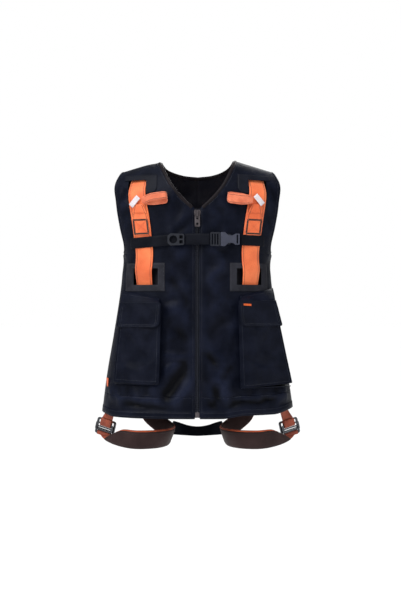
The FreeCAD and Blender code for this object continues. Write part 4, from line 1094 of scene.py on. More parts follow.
def make_zip():
    bottom, top = zip_basis(ZIP_BOTTOM_Z), zip_basis(ZIP_TOP_Z)
    length = np.linalg.norm(top.origin - bottom.origin)
    for side, word in SIDES:
        grid = [[bottom.at(side * x, v, -1.2 + 0.12 * math.sin(v / 7.0)) for v in np.linspace(0, length, 90)]
                for x in (0.9, 3.0, 8.0, 14.0, 20.0)]
        high = np.full((5, 90), 0.8)
        high[0] += 0.7
        tape = slab(f"zip_cloth_{word}", grid, 0.0, high, [yoke_cloth])
        placed(tape, "vest", [f"zip_tape_{word}"])
        # Light dotted rows on the tape just outside the teeth: partly stitching, partly painted glints along
        # the teeth's edges.
        beside = [bottom.at(side * 5.6, v, 0.1) for v in np.linspace(12, length - 24, 80)]
        zip_rows.row(beside, [bottom.n] * 80, pitch=4.8, radius=0.6, gap=0.45)
        verts, faces = [], []
        first, last = 14.5, length - 22.0
        for k in range(int((last - first) / TOOTH_PITCH)):
            v = first + (k + (0.5 if side == LEFT else 0.0)) * TOOTH_PITCH
            base = len(verts)
            size = len(TOOTH_PLAN)
            for n, scale in ((-0.4, 0.9), (1.5, 1.0), (2.0, 0.72)):
                verts += [bottom.at(side * (TOOTH_MIDDLE + (pu - TOOTH_MIDDLE) * scale), v + pv * scale, n)
                          for pu, pv in TOOTH_PLAN]
            for ring in range(2):
                for j in range(size):
                    a, b = base + ring * size + j, base + ring * size + (j + 1) % size
                    faces.append((a, b, b + size, a + size))
            faces.append(tuple(range(base, base + size)))
            faces.append(tuple(range(base + 2 * size, base + 3 * size)))
        teeth = new_object(f"zip_chain_{word}", verts, faces, np.array(verts)[:, [0, 2]], [tooth_plastic])
        placed(teeth, "vest", [f"zip_teeth_{word}"])


# ======================================================================== pockets
POCKET_CLOTH = 1.8
# Each pocket: where the face's upper inner corner is, how many degrees the face turns back, its height, how
# far its flap hangs, how far its lower edge rises outwards, its cut cloth in metres, and its width at these
# distances below the top.
POCKETS = {
    "left": {
        "side": LEFT, "corner": (103.0, -143.0, -362.0), "turn": 27.0, "height": 212.0, "flap": 61.0,
        "rise": 8.0, "flat": (0.21, 0.215), "area": 0.0375, "widths": ((0, 60, 212), (98, 113, 144)),
    },
    "right": {
        "side": RIGHT, "corner": (-91.0, -145.0, -368.0), "turn": 26.0, "height": 197.0, "flap": 58.0,
        "rise": 2.0, "flat": (0.18, 0.2), "area": 0.0310, "widths": ((0, 60, 197), (107, 113, 125)),
    },
}
FLAP_GAP = 1.5
POCKET_MOUTH = 9.0
FACE_BULGE = 4.5
FACE_COLUMNS = 22
GUSSET_COLUMNS = 7


def pocket_basis(pocket):
    turn = math.radians(pocket["turn"])
    u = (pocket["side"] * math.cos(turn), math.sin(turn), 0)
    return Basis(pocket["corner"], u, (0, -0.06, -1), outward=(0, -1, 0))


def pocket_width(pocket, v):
    return float(np.interp(v, *pocket["widths"]))


def pocket_root(point, drawn_in, off=CLOTH + 1.2):
    x = min(abs(point[0]) - drawn_in, 0.96 * half_width(point[2]))
    x = math.copysign(x, point[0])
    return torso(x, point[2], FRONT) + body_normal(x, point[2], FRONT) * off


def face_bulge(pocket, share, v):
    """The face sags outwards, most below its middle, and has a few soft dents."""
    down = v / pocket["height"]
    belly = (FACE_BULGE * math.sin(math.pi * share) ** 0.7
             * (0.25 + 0.75 * math.sin(math.pi * min(down * 0.72 + 0.02, 1))))
    dent = 1.1 * noise.noise(Vector((share * 3.2, down * 4.0, pocket["side"] * 5.1)))
    drag = 1.6 * math.exp(-(((down - 0.62 - 0.22 * share) / 0.07) ** 2)) * math.sin(math.pi * share)
    return belly + (dent - drag) * math.sin(math.pi * share) ** 0.5


def bag_row(pocket, f, v):
    """One level of the bag: inner gusset with its pleat, face with rounded corners, outer gusset."""
    w = pocket_width(pocket, v)
    inner, outer = f.at(0, v), f.at(w, v)
    rise = pocket["rise"] * (v / pocket["height"]) ** 2
    row = []
    start, pleat = pocket_root(inner, -2), 3.2
    for k in range(GUSSET_COLUMNS):
        t = k / GUSSET_COLUMNS
        row.append(start + (inner - start) * t + f.u * pleat * math.sin(math.pi * t))
    for k in range(FACE_COLUMNS):
        share = k / (FACE_COLUMNS - 1)
        corner = 1.4 if k in (0, FACE_COLUMNS - 1) else 0.0
        row.append(f.at(w * share, v - rise * share, face_bulge(pocket, share, v) - corner))
    outer = f.at(w, v - rise)
    end = pocket_root(outer, 6)
    for k in range(GUSSET_COLUMNS):
        t = (k + 1) / GUSSET_COLUMNS
        row.append(outer + (end - outer) * t - f.u * pleat * math.sin(math.pi * t))
    return row


def make_pocket(word, pocket):
    f = pocket_basis(pocket)
    height = pocket["height"]
    levels = list(np.arange(POCKET_MOUTH, height - 4, 5.5)) + [height - 2.5, height]
    grid = np.array([bag_row(pocket, f, v) for v in levels])
    free = np.zeros(grid.shape[:2])
    face = slice(GUSSET_COLUMNS + 2, GUSSET_COLUMNS + FACE_COLUMNS - 2)
    free[1:-3, face] = 1.0
    grid = settled(grid, 1 - free, 0.02, 3.0)
    uv = np.stack([distances_along(grid, 1), distances_along(grid, 0)], axis=2)
    bag = slab(f"pocket_{word}", grid, 0.0, POCKET_CLOTH, [vest_cloth, lining],
               inside=f.at(60, 100, -30), uv=uv)
    columns = grid.shape[1] - 1
    # The gussets' outer faces take the near-black lining: painted shade along the pocket's sides.
    for k, polygon in enumerate(bag.data.polygons[:2 * columns * (grid.shape[0] - 1)]):
        if not GUSSET_COLUMNS - 1 <= (k // 2) % columns < columns - GUSSET_COLUMNS:
            polygon.material_index = 1
    placed(bag, "vest", [f"pocket_bag_{word}"])

    v = height - 0.6
    w = pocket_width(pocket, v)
    front = [f.at(2.2 + (w - 4.4) * k / 20, v, -0.6 + face_bulge(pocket, k / 20, v)) for k in range(21)]
    back = [pocket_root(p, 3) for p in front]
    rows = []
    for t in np.linspace(0, 1, 7):
        sag = vec(0, 0, 2.5 * math.sin(math.pi * t))
        rows.append([a + (b - a) * t - sag for a, b in zip(front, back)])
    floor = slab(f"pocket_floor_{word}", rows, 0.0, POCKET_CLOTH, [vest_cloth],
                 inside=f.at(w / 2, v - 60, -20))
    placed(floor, "vest")

    name = f"pocket_{word}"
    outer, n = surfaces[name]
    first, last = GUSSET_COLUMNS, GUSSET_COLUMNS + FACE_COLUMNS - 1
    edge = [outer[i, first] for i in range(len(levels))] + [outer[-1, j] for j in range(first + 1, last + 1)]
    edge += [outer[i, last] for i in range(len(levels) - 2, -1, -1)]
    edge_n = [n[i, first] for i in range(len(levels))] + [n[-1, j] for j in range(first + 1, last + 1)]
    edge_n += [n[i, last] for i in range(len(levels) - 2, -1, -1)]
    piping = bead(f"pocket_piping_{word}", edge, edge_n, [vest_cloth], 2.6, 2.6, drop=-0.3, sides=8)
    placed(piping, "vest")
    for j in (first + 1, last - 1):
        navy.row(outer[:-1, j] + n[:-1, j] * STITCH_LIFT, n[:-1, j])
    navy.row(outer[-3, first + 1:last] + n[-3, first + 1:last] * STITCH_LIFT, n[-3, first + 1:last])


def flap_basis(pocket):
    f = pocket_basis(pocket)
    f.origin = f.at(0, 0, POCKET_CLOTH + FLAP_GAP + 1.2)
    return f


def corner_cut(flap_drop, v, radius):
    """How far a rounded lower corner draws the flap's side in at this height."""
    deep = max(0.0, v - (flap_drop - radius))
    return radius - math.sqrt(max(0.0, radius**2 - deep**2))


# The levels of a flap's grid, as shares of its drop. They are closest at its sewn top and its lower edge.
FLAP_LEVELS = (0.007, 0.03, 0.08, 0.15, 0.24, 0.34, 0.45, 0.56, 0.65, 0.72, 0.79, 0.85, 0.90, 0.935, 0.962,
               0.985, 1.0)


def make_flap(word, pocket, thread):
    f = flap_basis(pocket)
    drop = pocket["flap"]
    levels = [drop * share for share in FLAP_LEVELS]
    columns = 24
    rows = []
    for v in levels:
        low = -3.0 + corner_cut(drop, v, 18.0)
        high = pocket_width(pocket, v) + 4.0 - corner_cut(drop, v, 5.0)
        down = v / drop
        row = []
        for k in range(columns):
            share = k / (columns - 1)
            u = low + (high - low) * share
            lift = 1.5 * math.sin(math.pi * down) + 3.4 * down**4 * (1 - 0.35 * math.sin(math.pi * share))
            dent = noise.noise(Vector((u / 24, v / 20, pocket["side"] * 2.2)))
            lift += 0.7 * dent * math.sin(math.pi * down)
            row.append(f.at(u, v, lift))
        rows.append(row)
    name = f"flap_{word}_cloth"
    flap = slab(name, rows, -1.2, 1.2, [vest_cloth, lining], inside=f.at(50, 20, -50))
    placed(flap, f"flap_{word}", [f"pocket_flap_{word}"])
    outer, n = surfaces[name]
    count = len(levels)
    for inset in (1, 2):
        path = [(i, inset) for i in range(2, count - 1 - inset)]
        path += [(count - 1 - 2 * inset, j) for j in range(inset + 1, columns - inset)]
        path += [(i, columns - 1 - inset) for i in range(count - 2 - 2 * inset, 1, -1)]
        line = np.array([outer[i, j] + n[i, j] * STITCH_LIFT for i, j in path])
        thread.row(line, [n[i, j] for i, j in path])
    thread.finish(f"flap_{word}_stitching", navy_thread, f"flap_{word}", "vest_cloth")

    width = pocket_width(pocket, 0) + 2
    line = [f.at(width * k / 24, -1.0, 0) for k in range(25)]
    upper = [pocket_root(p + vec(0, 0, 12 + 20 * k / 24), 0, CLOTH + 1.2) for k, p in enumerate(line)]
    rows = []
    for t in np.linspace(0, 1, 7):
        rows.append([a + (b - a) * t + f.n * 1.4 * math.sin(math.pi * t) for a, b in zip(upper, line)])
    strip_name = f"flap_top_{word}"
    strip = slab(strip_name, rows, -1.0, 0.6, [vest_cloth], inside=f.at(50, 20, -60))
    placed(strip, "vest", [f"flap_seam_{word}"])
    navy.row(*line_on(strip_name, 0.3))
    roll_line = [f.at(-2.0 + (width + 4.0) * k / 24, -0.4, 0.2) for k in range(25)]
    roll = bead(f"flap_roll_{word}", roll_line, [f.n] * 25, [vest_cloth], 4.0, 3.4)
    placed(roll, "vest")


def four_corner_slab(name, corners, low, high, materials, belly=0.0, inside=(0, 0, -400), steps=7):
    """A small piece of cloth between four corners, listed round its outline, a little curved."""
    a, b, c, d = (np.asarray(p, float) for p in corners)
    n = unit(np.cross(b - a, d - a))
    rows = []
    for i in range(steps):
        s = i / (steps - 1)
        rows.append([(a + (b - a) * t) * (1 - s) + (d + (c - d) * t) * s + n * belly * math.sin(math.pi * t)
                     for t in np.linspace(0, 1, steps)])
    return slab(name, rows, low, high, materials, inside=inside)


SEAM_TAB_Z = -568.0
SEAM_TAB_IN = 5             # from the side seam


def make_tabs():
    f = flap_basis(POCKETS["left"])
    corners = [f.at(8, 6, 2.7), f.at(29, 7.2, 2.9), f.at(29, 11.6, 3.2), f.at(8, 10.4, 3.0)]
    tab = four_corner_slab("flap_tab", corners, 0.0, 0.7, [tab_cloth], belly=0.3, inside=f.at(15, 12, -50))
    placed(tab, "flap_left", ["pocket_tab"])
    x, z = -(half_width(SEAM_TAB_Z) * 0.985 - SEAM_TAB_IN), SEAM_TAB_Z
    normal = body_normal(x, z, FRONT)
    centre = on_vest(x, z, FRONT, CLOTH + 1.4)
    f = Basis(centre, np.cross((0, 0, 1), normal), (0, 0, 1), outward=normal)
    corners = [f.at(-8, 10), f.at(8, 10), f.at(3.5, -11), f.at(-3.5, -11)]
    tab = four_corner_slab("seam_tab", corners, -0.7, 0.7, [tab_cloth], belly=0.0)
    placed(tab, "vest", ["side_tab"])


# ======================================================================== harness webbing
def web_on_body(name, route, face, width, material, thick=WEB_THICK, rows=9, edge_dip=0.35):
    """Webbing along a route of (x, z, offset) on the body surface. Its edges are a little thinner."""
    stations = resample(route, 5.0)
    centre = np.array([torso(x, z, face) for x, z, _ in stations])
    along = np.gradient(centre, axis=0)
    grid = []
    for k in range(rows):
        shift = width * (k / (rows - 1) - 0.5)
        row = []
        for (x, z, _), p, t in zip(stations, centre, along):
            t = unit(t)
            near = torso(x + 0.5, z, face) - torso(x - 0.5, z, face)
            drawn_in = 1 - 0.02 * smoothstep(-190, -110, z)
            moved = p + unit(near - t * np.dot(near, t)) * shift * drawn_in
            row.append(torso(moved[0], min(moved[2], shoulder_line(moved[0]) - 0.6), face))
        grid.append(row)
    normals = np.array([[body_normal(p[0], p[2], face) for p in row] for row in grid])
    low = np.tile(stations[:, 2], (rows, 1))
    high = low + thick
    high[[0, -1]] -= edge_dip
    low[[0, -1]] += edge_dip
    return slab(name, grid, low, high, [material], normals=normals)


SHOULDER_ROUTE = ((134, -334, -6.5), (134, -320, -5.2), (133, -303, 0.0), (131.5, -284, ON_CHEST),
                  (129.5, -262, ON_CHEST), (129.5, -236, ON_CHEST), (133, -206, ON_CHEST),
                  (139, -161, ON_CHEST), (146, -118, ON_CHEST), (148.5, -100, 5.2), (149.5, -88, 3.8),
                  (149.5, -72, -1.0), (149, -58, -4.4), (147.5, -40, -5.6), (146.8, -26, -7.0),
                  (146.5, -16.2, -8.2))
BACK_ROUTE = ((146.5, -16.2), (146, -26), (144, -38), (137, -64), (121, -98), (92, -132), (50, -160),
              (0, -181), (-42, -206), (-80, -245), (-106, -300), (-122, -370), (-132, -450),
              (-139, -530), (-143, -575))
HIP_ROUTE = ((134.5, -365), (139, -385), (155, -430), (179, -480), (202, -530), (217, -575), (221, -600))


def make_body_webs():
    for side, word in SIDES:
        route = [(side * x, z, off) for x, z, off in SHOULDER_ROUTE]
        name = f"shoulder_strap_{word}"
        strap = web_on_body(name, route, FRONT, WEB, orange_webbing)
        placed(strap, "vest", [f"shoulder_web_{word}"])
        edge_rows(dark, name, (0.09, 0.91), pitch=3.2, radius=0.75, gap=0.22)

        layer = -5.0 if side == LEFT else -8.6
        offsets = [-8.2, -7.4, -6.4] + [layer] * (len(BACK_ROUTE) - 3)
        route = [(side * x, z, off) for (x, z), off in zip(BACK_ROUTE, offsets)]
        name = f"back_strap_{word}"
        strap = web_on_body(name, route, BACK, WEB, orange_webbing)
        placed(strap, "vest", [f"back_web_{word}"])
        edge_rows(dark, name, (0.09, 0.91), pitch=3.2, radius=0.75, gap=0.22)

        route = [(side * x, z, -7.0) for x, z in HIP_ROUTE]
        strap = web_on_body(f"hip_strap_{word}", route, FRONT, WEB * 0.9, shaded_orange_webbing, rows=7)
        placed(strap, "vest", [f"hip_web_{word}"])


# ---- front attachment loops ----
LOOP_AXIS_X, LOOP_AXIS_Z = 141.0, -112.0
LOOP_STANDOFF = 18.5
LOOP_LENGTH = 68.0
LOOP_GAP = 7.0
TAIL_STATIONS = ((134.2, -197, 37), (137.5, -172, 37), (139.5, -152, 36), (141.5, -134, 27), (143, -122, 17))
TAIL_OFF = ON_CHEST + WEB_THICK + 0.9


def loop_basis(side):
    origin = torso(side * LOOP_AXIS_X, LOOP_AXIS_Z, FRONT) + vec(0, -LOOP_STANDOFF, 0)
    return Basis(origin, (-side, -0.12, 0.12), (side * 0.12, 0, 1), outward=(0, -1, 0))


def loop_outline():
    """(u, n) points of the loop seen along its width: out from the hinge line, round the end and back."""
    root_u, end_u = 4.0, LOOP_LENGTH - LOOP_GAP
    going = [(root_u + (end_u - root_u) * k / 16,
              1.6 + (LOOP_GAP - 1.6) * math.sin(math.pi / 2 * min(k / 10, 1.0))) for k in range(17)]
    turn = [(end_u + LOOP_GAP * math.sin(a), LOOP_GAP * math.cos(a)) for a in np.radians(range(9, 180, 9))]
    return [(u, -n) for u, n in going] + [(u, -n) for u, n in turn] + [(u, n) for u, n in reversed(going)]


def make_loop(side, word):
    f = loop_basis(side)
    grid = []
    for edge in np.linspace(-0.5, 0.5, 9):
        row = []
        for u, n in loop_outline():
            rounded = 1 - 0.10 * smoothstep(LOOP_LENGTH - 12, LOOP_LENGTH, u)
            front = -side * n / LOOP_GAP
            narrow = (21.0 - 3.4 * front) * edge * min(1.0, 0.5 + u / 30.0) * rounded
            opened = (1.0 + 3.8 * front) * smoothstep(6, 30, u)
            sag = 0.7 * math.cos(math.pi * edge) * smoothstep(0, 40, u)
            row.append(f.at(u, narrow + opened, n + math.copysign(sag, n)))
        grid.append(row)
    name = f"attachment_loop_{word}"
    centre = f.at(40, 0, 0)
    p = np.array(grid)
    n = grid_normals(p, (0, 0, -400))
    middle = p[len(p) // 2]
    if np.dot(n[len(p) // 2, 24], middle[24] - centre) < 0:
        n = -n
    high = np.zeros(p.shape[:2])
    high[[0, -1]] = -0.3
    low = np.full(p.shape[:2], -1.8)
    low[[0, -1]] = -1.5
    loop = slab(name, p, low, high, [loop_webbing], normals=n)
    placed(loop, f"loop_{word}", [f"front_loop_{word}"])
    thread = Thread()
    edge_rows(thread, name, (0.12, 0.88), 0.03, 0.97, pitch=2.6, radius=0.62, gap=0.12)
    thread.finish(f"loop_{word}_stitching", dark_thread, f"loop_{word}", "loop_webbing")


BOX_X = (119.3, 155.0)
BOX_Z = (-195.0, -158.0)
BOX_LEAN = 0.13             # the square leans with the webbing
BOX_LEAN_Z = -176
BOX_ROWS = 5
BOX_ROW_STEP = 0.8
CROSS_INSET = 5


def box_stitch(side):
    """The bar-tacked square that sews the tail down: five rows along each side and a light cross inside."""
    def at(x, z):
        x += BOX_LEAN * (z - BOX_LEAN_Z)
        p = torso(side * x, z, FRONT)
        n = body_normal(side * x, z, FRONT)
        return p + n * (TAIL_OFF + 1.85), n

    def corners(inset):
        low_x, high_x = BOX_X[0] + inset, BOX_X[1] - inset
        low_z, high_z = BOX_Z[0] + inset, BOX_Z[1] - inset
        return (low_x, low_z), (high_x, low_z), (high_x, high_z), (low_x, high_z)

    def sew(thread, start, end, **stitch):
        (ax, az), (bx, bz) = start, end
        places = [at(ax + (bx - ax) * t, az + (bz - az) * t) for t in np.linspace(0, 1, 7)]
        thread.row([p for p, _ in places], [n for _, n in places], **stitch)

    for k in range(BOX_ROWS):
        a, b, c, d = corners(BOX_ROW_STEP * k)
        for start, end in ((a, b), (b, c), (c, d), (d, a)):
            sew(black, start, end, pitch=2.0, radius=0.58, gap=0.05)
    a, b, c, d = corners(CROSS_INSET)
    for start, end in ((a, c), (d, b)):
        sew(orange, start, end, pitch=2.4, radius=0.36, gap=0.2)


def tail_grid(side, stations, wider=0.0):
    """Points across the sewn end of a loop at (x, z, width) stations."""
    return [[torso(side * (x + k * (width + wider)), z, FRONT) for x, z, width in stations]
            for k in np.linspace(-0.5, 0.5, 9)]


def make_tail(side, word):
    stations = spread(TAIL_STATIONS, 20)
    grid = tail_grid(side, stations)
    name = f"loop_base_{word}"
    high = np.full((9, 20), TAIL_OFF + 1.6)
    high[[0, -1]] -= 0.3
    tail = slab(name, grid, TAIL_OFF, high, [orange_webbing])
    placed(tail, "vest", [f"loop_tail_{word}"])
    edge_rows(black, name, (0.08, 0.92), pitch=3.0, radius=0.75, gap=0.2)
    fold = [(x, z, width) for x, z, width in stations if z > -143]
    grid = tail_grid(side, fold, 1.5)
    upper = slab(f"loop_fold_{word}", grid, TAIL_OFF + 1.7, TAIL_OFF + 3.4, [orange_webbing])
    placed(upper, "vest")
    edge_rows(black, f"loop_fold_{word}", (0.12, 0.88), pitch=3.0, radius=0.7, gap=0.2)


TAG_PLACE = {LEFT: (149.0, -110.0), RIGHT: (-151.5, -114.0)}


def make_tag(side, word):
    low = ON_CHEST + WEB_THICK + 3.2
    x, z = TAG_PLACE[side]
    centre = torso(x, z, FRONT)
    right = torso(x + 5, z, FRONT) - torso(x - 5, z, FRONT)
    base = Basis(centre, right, (0, 0, 1), outward=(0, -1, 0))
    lean = math.radians(-side * 48)
    f = Basis(centre + base.n * (low + 2.5), base.u * math.cos(lean) + base.v * math.sin(lean), base.v,
              outward=(0, -1, 0))
    corners = [f.at(-15, -6.5), f.at(15, -6.5), f.at(15, 6.5), f.at(-15, 6.5)]
    tag = four_corner_slab(f"tag_{word}", corners, -0.35, 0.35, [label_cloth], belly=0.8)
    placed(tag, "vest", ["loop_tags"])


# ---- chest strap ----
CHEST_ROUTE = ((109, -124.5), (96, -127.5), (84, -129.6), (70, -131.4), (50, -133.6), (32, -135.2))
WRAP_BEHIND = ((112, 0.6), (125, 0.6), (140, 0.6), (153, 0.7), (160.5, 1.2))
CHEST_TILT = {LEFT: 0.02, RIGHT: 0.075}


def chest_height(x):
    return CHEST_Z - CHEST_TILT[LEFT if x > 0 else RIGHT] * max(abs(x) - 40, 0)


def wrap_points(side, rise):
    """The strap goes behind the shoulder webbing, round its outer edge and back over its face."""
    over = ON_CHEST + WEB_THICK + CHEST_WEB_THICK + 1.0
    route = [(x, CLOTH + off) for x, off in WRAP_BEHIND]
    route += [(163.0, ON_CHEST + 1.6)] + [(x, over) for x in (160.5, 150, 135, 120)]
    points = []
    for x, offset in route:
        z = chest_height(side * x) + rise
        step = torso(side * (x + 1), z, FRONT) - torso(side * (x - 1), z, FRONT)
        out = unit((step[1], -step[0], 0))
        out = out if out[1] < 0 else -out
        points.append(torso(side * x, z, FRONT) + out * offset)
    return points


def strap_slab(name, rows, inside):
    p = np.array(rows)
    high = np.full(p.shape[:2], CHEST_WEB_THICK)
    high[[0, -1]] -= 0.3
    return slab(name, p, 0.0, high, [black_webbing], inside=inside)


def make_chest_strap():
    for side, word, last_x in ((LEFT, "left", 104.5), (RIGHT, "right", 32)):
        rows = []
        for rise in np.linspace(-CHEST_WEB / 2, CHEST_WEB / 2, 7):
            span = [vec(side * x, y, chest_height(x * side) + rise)
                    for x, y in CHEST_ROUTE if x > last_x - 0.1]
            wrap = wrap_points(side, rise)
            line = (wrap[1:] if side == LEFT else wrap) + span
            rows.append(spread(line, 60))
        name = f"chest_strap_{word}"
        strap = strap_slab(name, rows, (side * 140, -400, CHEST_Z))
        placed(strap, "vest", [f"chest_web_{word}"])
    points = ((-29.5, -135.0), (-14, -136.2), (2, -136.6), (18, -136.2), (30.5, -135.4))
    rows = [spread([(x, y, chest_height(x) + rise) for x, y in points], 36)
            for rise in np.linspace(-CHEST_WEB / 2, CHEST_WEB / 2, 7)]
    slack = strap_slab("chest_strap_slack", rows, (0, 0, CHEST_Z))
    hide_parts("chest_slack")
    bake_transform(slack)


# ======================================================================== leg loops
PLATE_LIFT = 7.0
LEG_TOP_EDGE = ((-225.5, -29, -716), (-213, -50, -706), (-190, -80, -686), (-150, -105, -684),
                (-108, -98, -684), (-78, -66, -685), (-64, -25, -686), (-62, 15, -685), (-72, 45, -680),
                (-91, 66, -668), (-109, 78, -650), (-120, 86, -618), (-123, 92, -586))
LEG_LOW_EDGE = ((-253, -10, -705), (-241, -33, -713), (-209, -66, -723), (-158, -95, -729), (-112, -88, -729),
                (-88, -60, -729), (-77, -22, -728), (-78, 15, -725), (-92, 47, -718), (-119, 68, -702),
                (-144, 80, -680), (-160, 86, -640), (-165, 91, -592))
HIP_EDGES = (((-226, -45, -604), (-232, -26, -640)), ((-207, -76, -604), (-211, -54, -642)))
DROP_WEB_U = (-12, 20)
SEAT_TOP = ((-62, 45, -680), (-48, 52, -684), (-25, 60, -691), (0, 62, -694), (25, 60, -691), (48, 52, -684),
            (62, 45, -680))
SEAT_LOW = ((-78, 43, -713), (-54, 45, -714), (-26, 46, -715), (0, 46, -716), (26, 46, -715), (54, 45, -714),
            (78, 43, -713))


def strip_between(top, bottom, columns, rows, rise=0.0, fall=0.0):
    """A grid of points between two edge curves. Rise and fall widen it at its upper and lower edge."""
    a, b = spread(top, columns), spread(bottom, columns)
    across = b - a
    across /= np.linalg.norm(across, axis=1, keepdims=True)
    a, b = a - across * rise, b + across * fall
    return np.array([a + (b - a) * k for k in np.linspace(0, 1, rows)])


def leg_edges(side, first, last):
    return [[(-side * x, y, z) for x, y, z in edge[first:last]] for edge in (LEG_TOP_EDGE, LEG_LOW_EDGE)]


def strip_normals(p, inside):
    """Normals of a band that goes round, each pointing away from the axis of the loop."""
    n = one_sided_normals(p)
    middle = p.shape[0] // 2
    away = p[middle] - np.asarray(inside, float)
    return n if np.sum(n[middle] * away) > 0 else -n


def leg_buckle_basis(side):
    return Basis((side * 237, -19, -687), (side * -0.84, -0.50, -0.20), (side * 0.22, 0.02, -0.975),
                 outward=(side, 0, 0))


def turn_round_bar(name, f, passing, end, lift, u, material):
    """Webbing turned round a buckle's bar, seen along the bar as a U."""
    radius, thick = 3.4, 1.8
    way = math.copysign(1, end - passing)
    centre = passing + way * (radius + thick / 2)
    outline = [(v, radius) for v in np.linspace(end, centre, 5)]
    outline += [(centre - way * radius * math.sin(a), radius * math.cos(a))
                for a in np.radians(range(15, 180, 15))]
    outline += [(v, -radius) for v in np.linspace(centre, end, 5)]
    p = np.array([[f.at(k, v, lift + n) for v, n in outline] for k in np.linspace(u[0], u[1], 7)])
    n = grid_normals(p, f.at((u[0] + u[1]) / 2, centre + way * 3, lift))
    return slab(name, p, -thick / 2, thick / 2, [material], normals=n)


def make_legs():
    for side, word in SIDES:
        inside = (side * 140, -10, -700)
        f = leg_buckle_basis(side)
        p = strip_between(*leg_edges(side, 0, len(LEG_TOP_EDGE)), 110, 7)
        # The strap's inner faces take the sleeve's brown: painted shade on the inside of the loop.
        web = slab(f"leg_strap_{word}", p, 0.0, WEB_THICK, [shaded_orange_webbing, brown_sleeve],
                   normals=strip_normals(p, inside))
        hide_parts(f"leg_web_{word}")
        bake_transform(web)
        turn = turn_round_bar(f"leg_strap_turn_{word}", f, 10.5, 21.6, 0.0, (-20, 20), shaded_orange_webbing)
        placed(turn, "legs")

        p = strip_between(*leg_edges(side, 0, len(LEG_TOP_EDGE) - 2), 100, 11, rise=-2.5, fall=0.5)[:, 9:]
        n = strip_normals(p, inside)
        rows, cols = p.shape[:2]
        puff = np.sin(np.linspace(0, math.pi, rows))[:, None] ** 0.5 * np.ones(cols)
        wave = np.array([[noise.noise(Vector((i * 0.45, j * 0.16, side * 4.0))) for j in range(cols)]
                         for i in range(rows)])
        low = np.full((rows, cols), WEB_THICK + 0.6)
        high = WEB_THICK + 2.6 + 1.9 * puff + 0.9 * wave * puff
        name = f"leg_pad_{word}"
        sleeve = slab(name, p, low, high, [brown_sleeve], normals=n)
        placed(sleeve, "legs", [f"leg_sleeve_{word}"])
        edge_rows(black_legs, name, (0.13, 0.87), 0.01, 0.99, pitch=3.2, radius=0.35)
        for station in (0.02, 0.98):
            black_legs.row(*column_on(name, station), pitch=2.4, radius=0.4, gap=0.15)
        lip_line, lip_n = line_on(name, 0.0, lift=-1.2)
        lip = bead(f"leg_lip_{word}", lip_line, lip_n, [tab_cloth], 2.4, 2.0, sides=8)
        placed(lip, "legs")

        top, low_edge = ([vec(-side * x, y, z) for x, y, z in edge] + [f.at(u, -22.6, PLATE_LIFT)]
                         for edge, u in zip(HIP_EDGES, DROP_WEB_U))
        p = strip_between(top, low_edge, 26, 7)
        name = f"drop_strap_{word}"
        drop = slab(name, p, -1.0, 1.0, [shaded_orange_webbing], normals=strip_normals(p, (side * 140, 0, -640)))
        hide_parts(f"drop_web_{word}")
        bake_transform(drop)
        turn = turn_round_bar(f"drop_strap_turn_{word}", f, -2.2, -21.6, PLATE_LIFT, DROP_WEB_U, shaded_orange_webbing)
        placed(turn, "legs")
    p = strip_between(SEAT_TOP, SEAT_LOW, 40, 7)
    seat = slab("seat_band", p, 3.2, 5.0, [black_webbing], normals=strip_normals(p, (0, -100, -700)))
    placed(seat, "legs", ["seat_strap"])
    edge_rows(black_legs, "seat_band", (0.12, 0.88))


# ======================================================================== moulded and forged parts
HARD_PARTS = {
    "web_keeper": black_plastic,
    "buckle_male": black_plastic,
    "buckle_prong_upper": black_plastic,
    "buckle_prong_lower": black_plastic,
    "buckle_socket": grey_plastic,
    "dorsal_plate": black_plastic,
    "dorsal_ring": ring_steel,
    "zip_slider": zip_metal,
    "zip_pull": zip_metal,
    "zip_box": zip_metal,
}
HARD_PARTS.update({f"{part}_{word}": harness_steel for part in ("adjuster", "leg_frame", "leg_plate")
                   for _, word in SIDES})
HARD_SHARP_DEGREES = 40


def dress_hard_parts():
    """The harness's hardware keeps the shape it has in the frame and gets its own materials."""
    for name, material in HARD_PARTS.items():
        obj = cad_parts[name]
        obj.data.materials.clear()
        obj.data.materials.append(material)
        obj.data.shade_smooth()
        obj.data.set_sharp_from_angle(angle=math.radians(HARD_SHARP_DEGREES))


# ======================================================================== room
def plain(name, colour, roughness=0.85):
    m = Nodes(name)
    return m.surface(Base_Color=(*colour, 1), Roughness=roughness)


def aimed(name, light, place, aim):
    obj = bpy.data.objects.new(name, light)
    obj.location = place
    obj.rotation_euler = (Vector(aim) - Vector(place)).to_track_quat("-Z", "Y").to_euler()
    bpy.context.scene.collection.objects.link(obj)


def area_light(name, place, size, watts):
    light = bpy.data.lights.new(name, "AREA")
    light.shape = "RECTANGLE"
    light.size, light.size_y = size
    light.energy = watts
    aimed(name, light, place, (0, 0, -0.35))


def make_world(fill, backdrop):
    """Even fill light, with a plain white backdrop behind what the camera sees."""
    world = bpy.data.worlds.new("studio")
    world.use_nodes = True
    tree = world.node_tree
    background = tree.nodes["Background"]
    background.inputs["Color"].default_value = (1, 1, 1, 1)
    seen = tree.nodes.new("ShaderNodeLightPath").outputs["Is Camera Ray"]
    strength = tree.nodes.new("ShaderNodeMapRange")
    strength.inputs["To Min"].default_value = fill
    strength.inputs["To Max"].default_value = backdrop
    tree.links.new(seen, strength.inputs["Value"])
    tree.links.new(strength.outputs[0], background.inputs["Strength"])
    bpy.context.scene.world = world


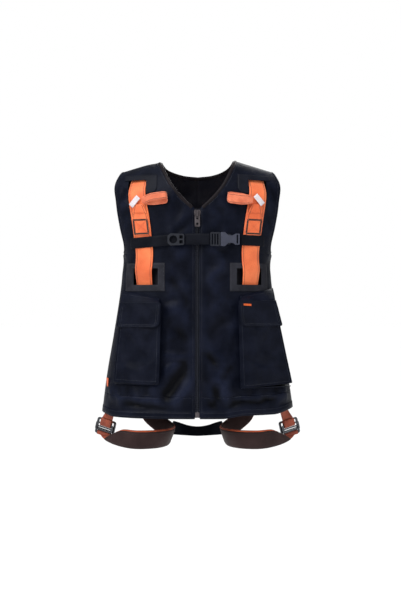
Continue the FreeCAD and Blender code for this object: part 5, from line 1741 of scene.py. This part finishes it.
# The room is in metres and watts.
FLOOR_SIZE, FLOOR_Z = 60, -1.25
FILL_STRENGTH, BACKDROP_STRENGTH = 0.26, 1.0
SUN_STRENGTH, SUN_SOFTNESS_DEGREES = 3.3, 60
LAMPS = (("key", (-1.5, -1.9, 0.9), (0.5, 1.3), 22), ("fill", (1.9, -1.5, 0.2), (0.5, 1.3), 9),
         ("back", (0.6, 2.2, 0.8), (1.6, 1.4), 24))
CAMERA_PLACE = (0.0078, -2.5, -0.36)
CAMERA_LENS = 57.6


def make_room():
    bpy.ops.mesh.primitive_plane_add(size=FLOOR_SIZE, location=(0, 0, FLOOR_Z))
    floor = bpy.context.object
    floor.name = "floor"
    floor.data.materials.append(plain("pale_floor", (0.93, 0.93, 0.93)))
    make_world(FILL_STRENGTH, BACKDROP_STRENGTH)
    sun = bpy.data.lights.new("sun", "SUN")
    sun.energy = SUN_STRENGTH
    sun.angle = math.radians(SUN_SOFTNESS_DEGREES)
    aimed("sun", sun, (-0.7, -1.2, 2.2), (0, 0, 0))
    for lamp in LAMPS:
        area_light(*lamp)
    scene = bpy.context.scene
    scene.view_settings.view_transform = "Standard"
    camera = bpy.data.cameras.new("camera")
    camera.lens = CAMERA_LENS
    camera.sensor_width = 36
    obj = bpy.data.objects.new("camera", camera)
    obj.location = CAMERA_PLACE
    obj.rotation_euler = (math.pi / 2, 0, 0)
    scene.collection.objects.link(obj)
    scene.camera = obj


make_room()
make_panels()
stitch_panels()
make_patches()
make_zip()
for word, pocket in POCKETS.items():
    make_pocket(word, pocket)
    make_flap(word, pocket, Thread())
make_tabs()
make_body_webs()
for side, word in SIDES:
    make_loop(side, word)
    make_tail(side, word)
    make_tag(side, word)
    box_stitch(side)
make_chest_strap()
make_legs()
dress_hard_parts()
zip_rows.finish("zip_stitches_and_glints", zip_thread_and_glints, "vest", "vest_cloth")
navy.finish("vest_stitching", navy_thread, "vest", "vest_cloth")
dark.finish("webbing_stitching", dark_thread, "vest", "orange_webbing")
black.finish("box_stitching", black_thread, "vest", "orange_webbing")
orange.finish("cross_stitching", orange_thread, "vest", "orange_webbing")
black_legs.finish("leg_stitching", black_thread, "legs", "brown_sleeve")
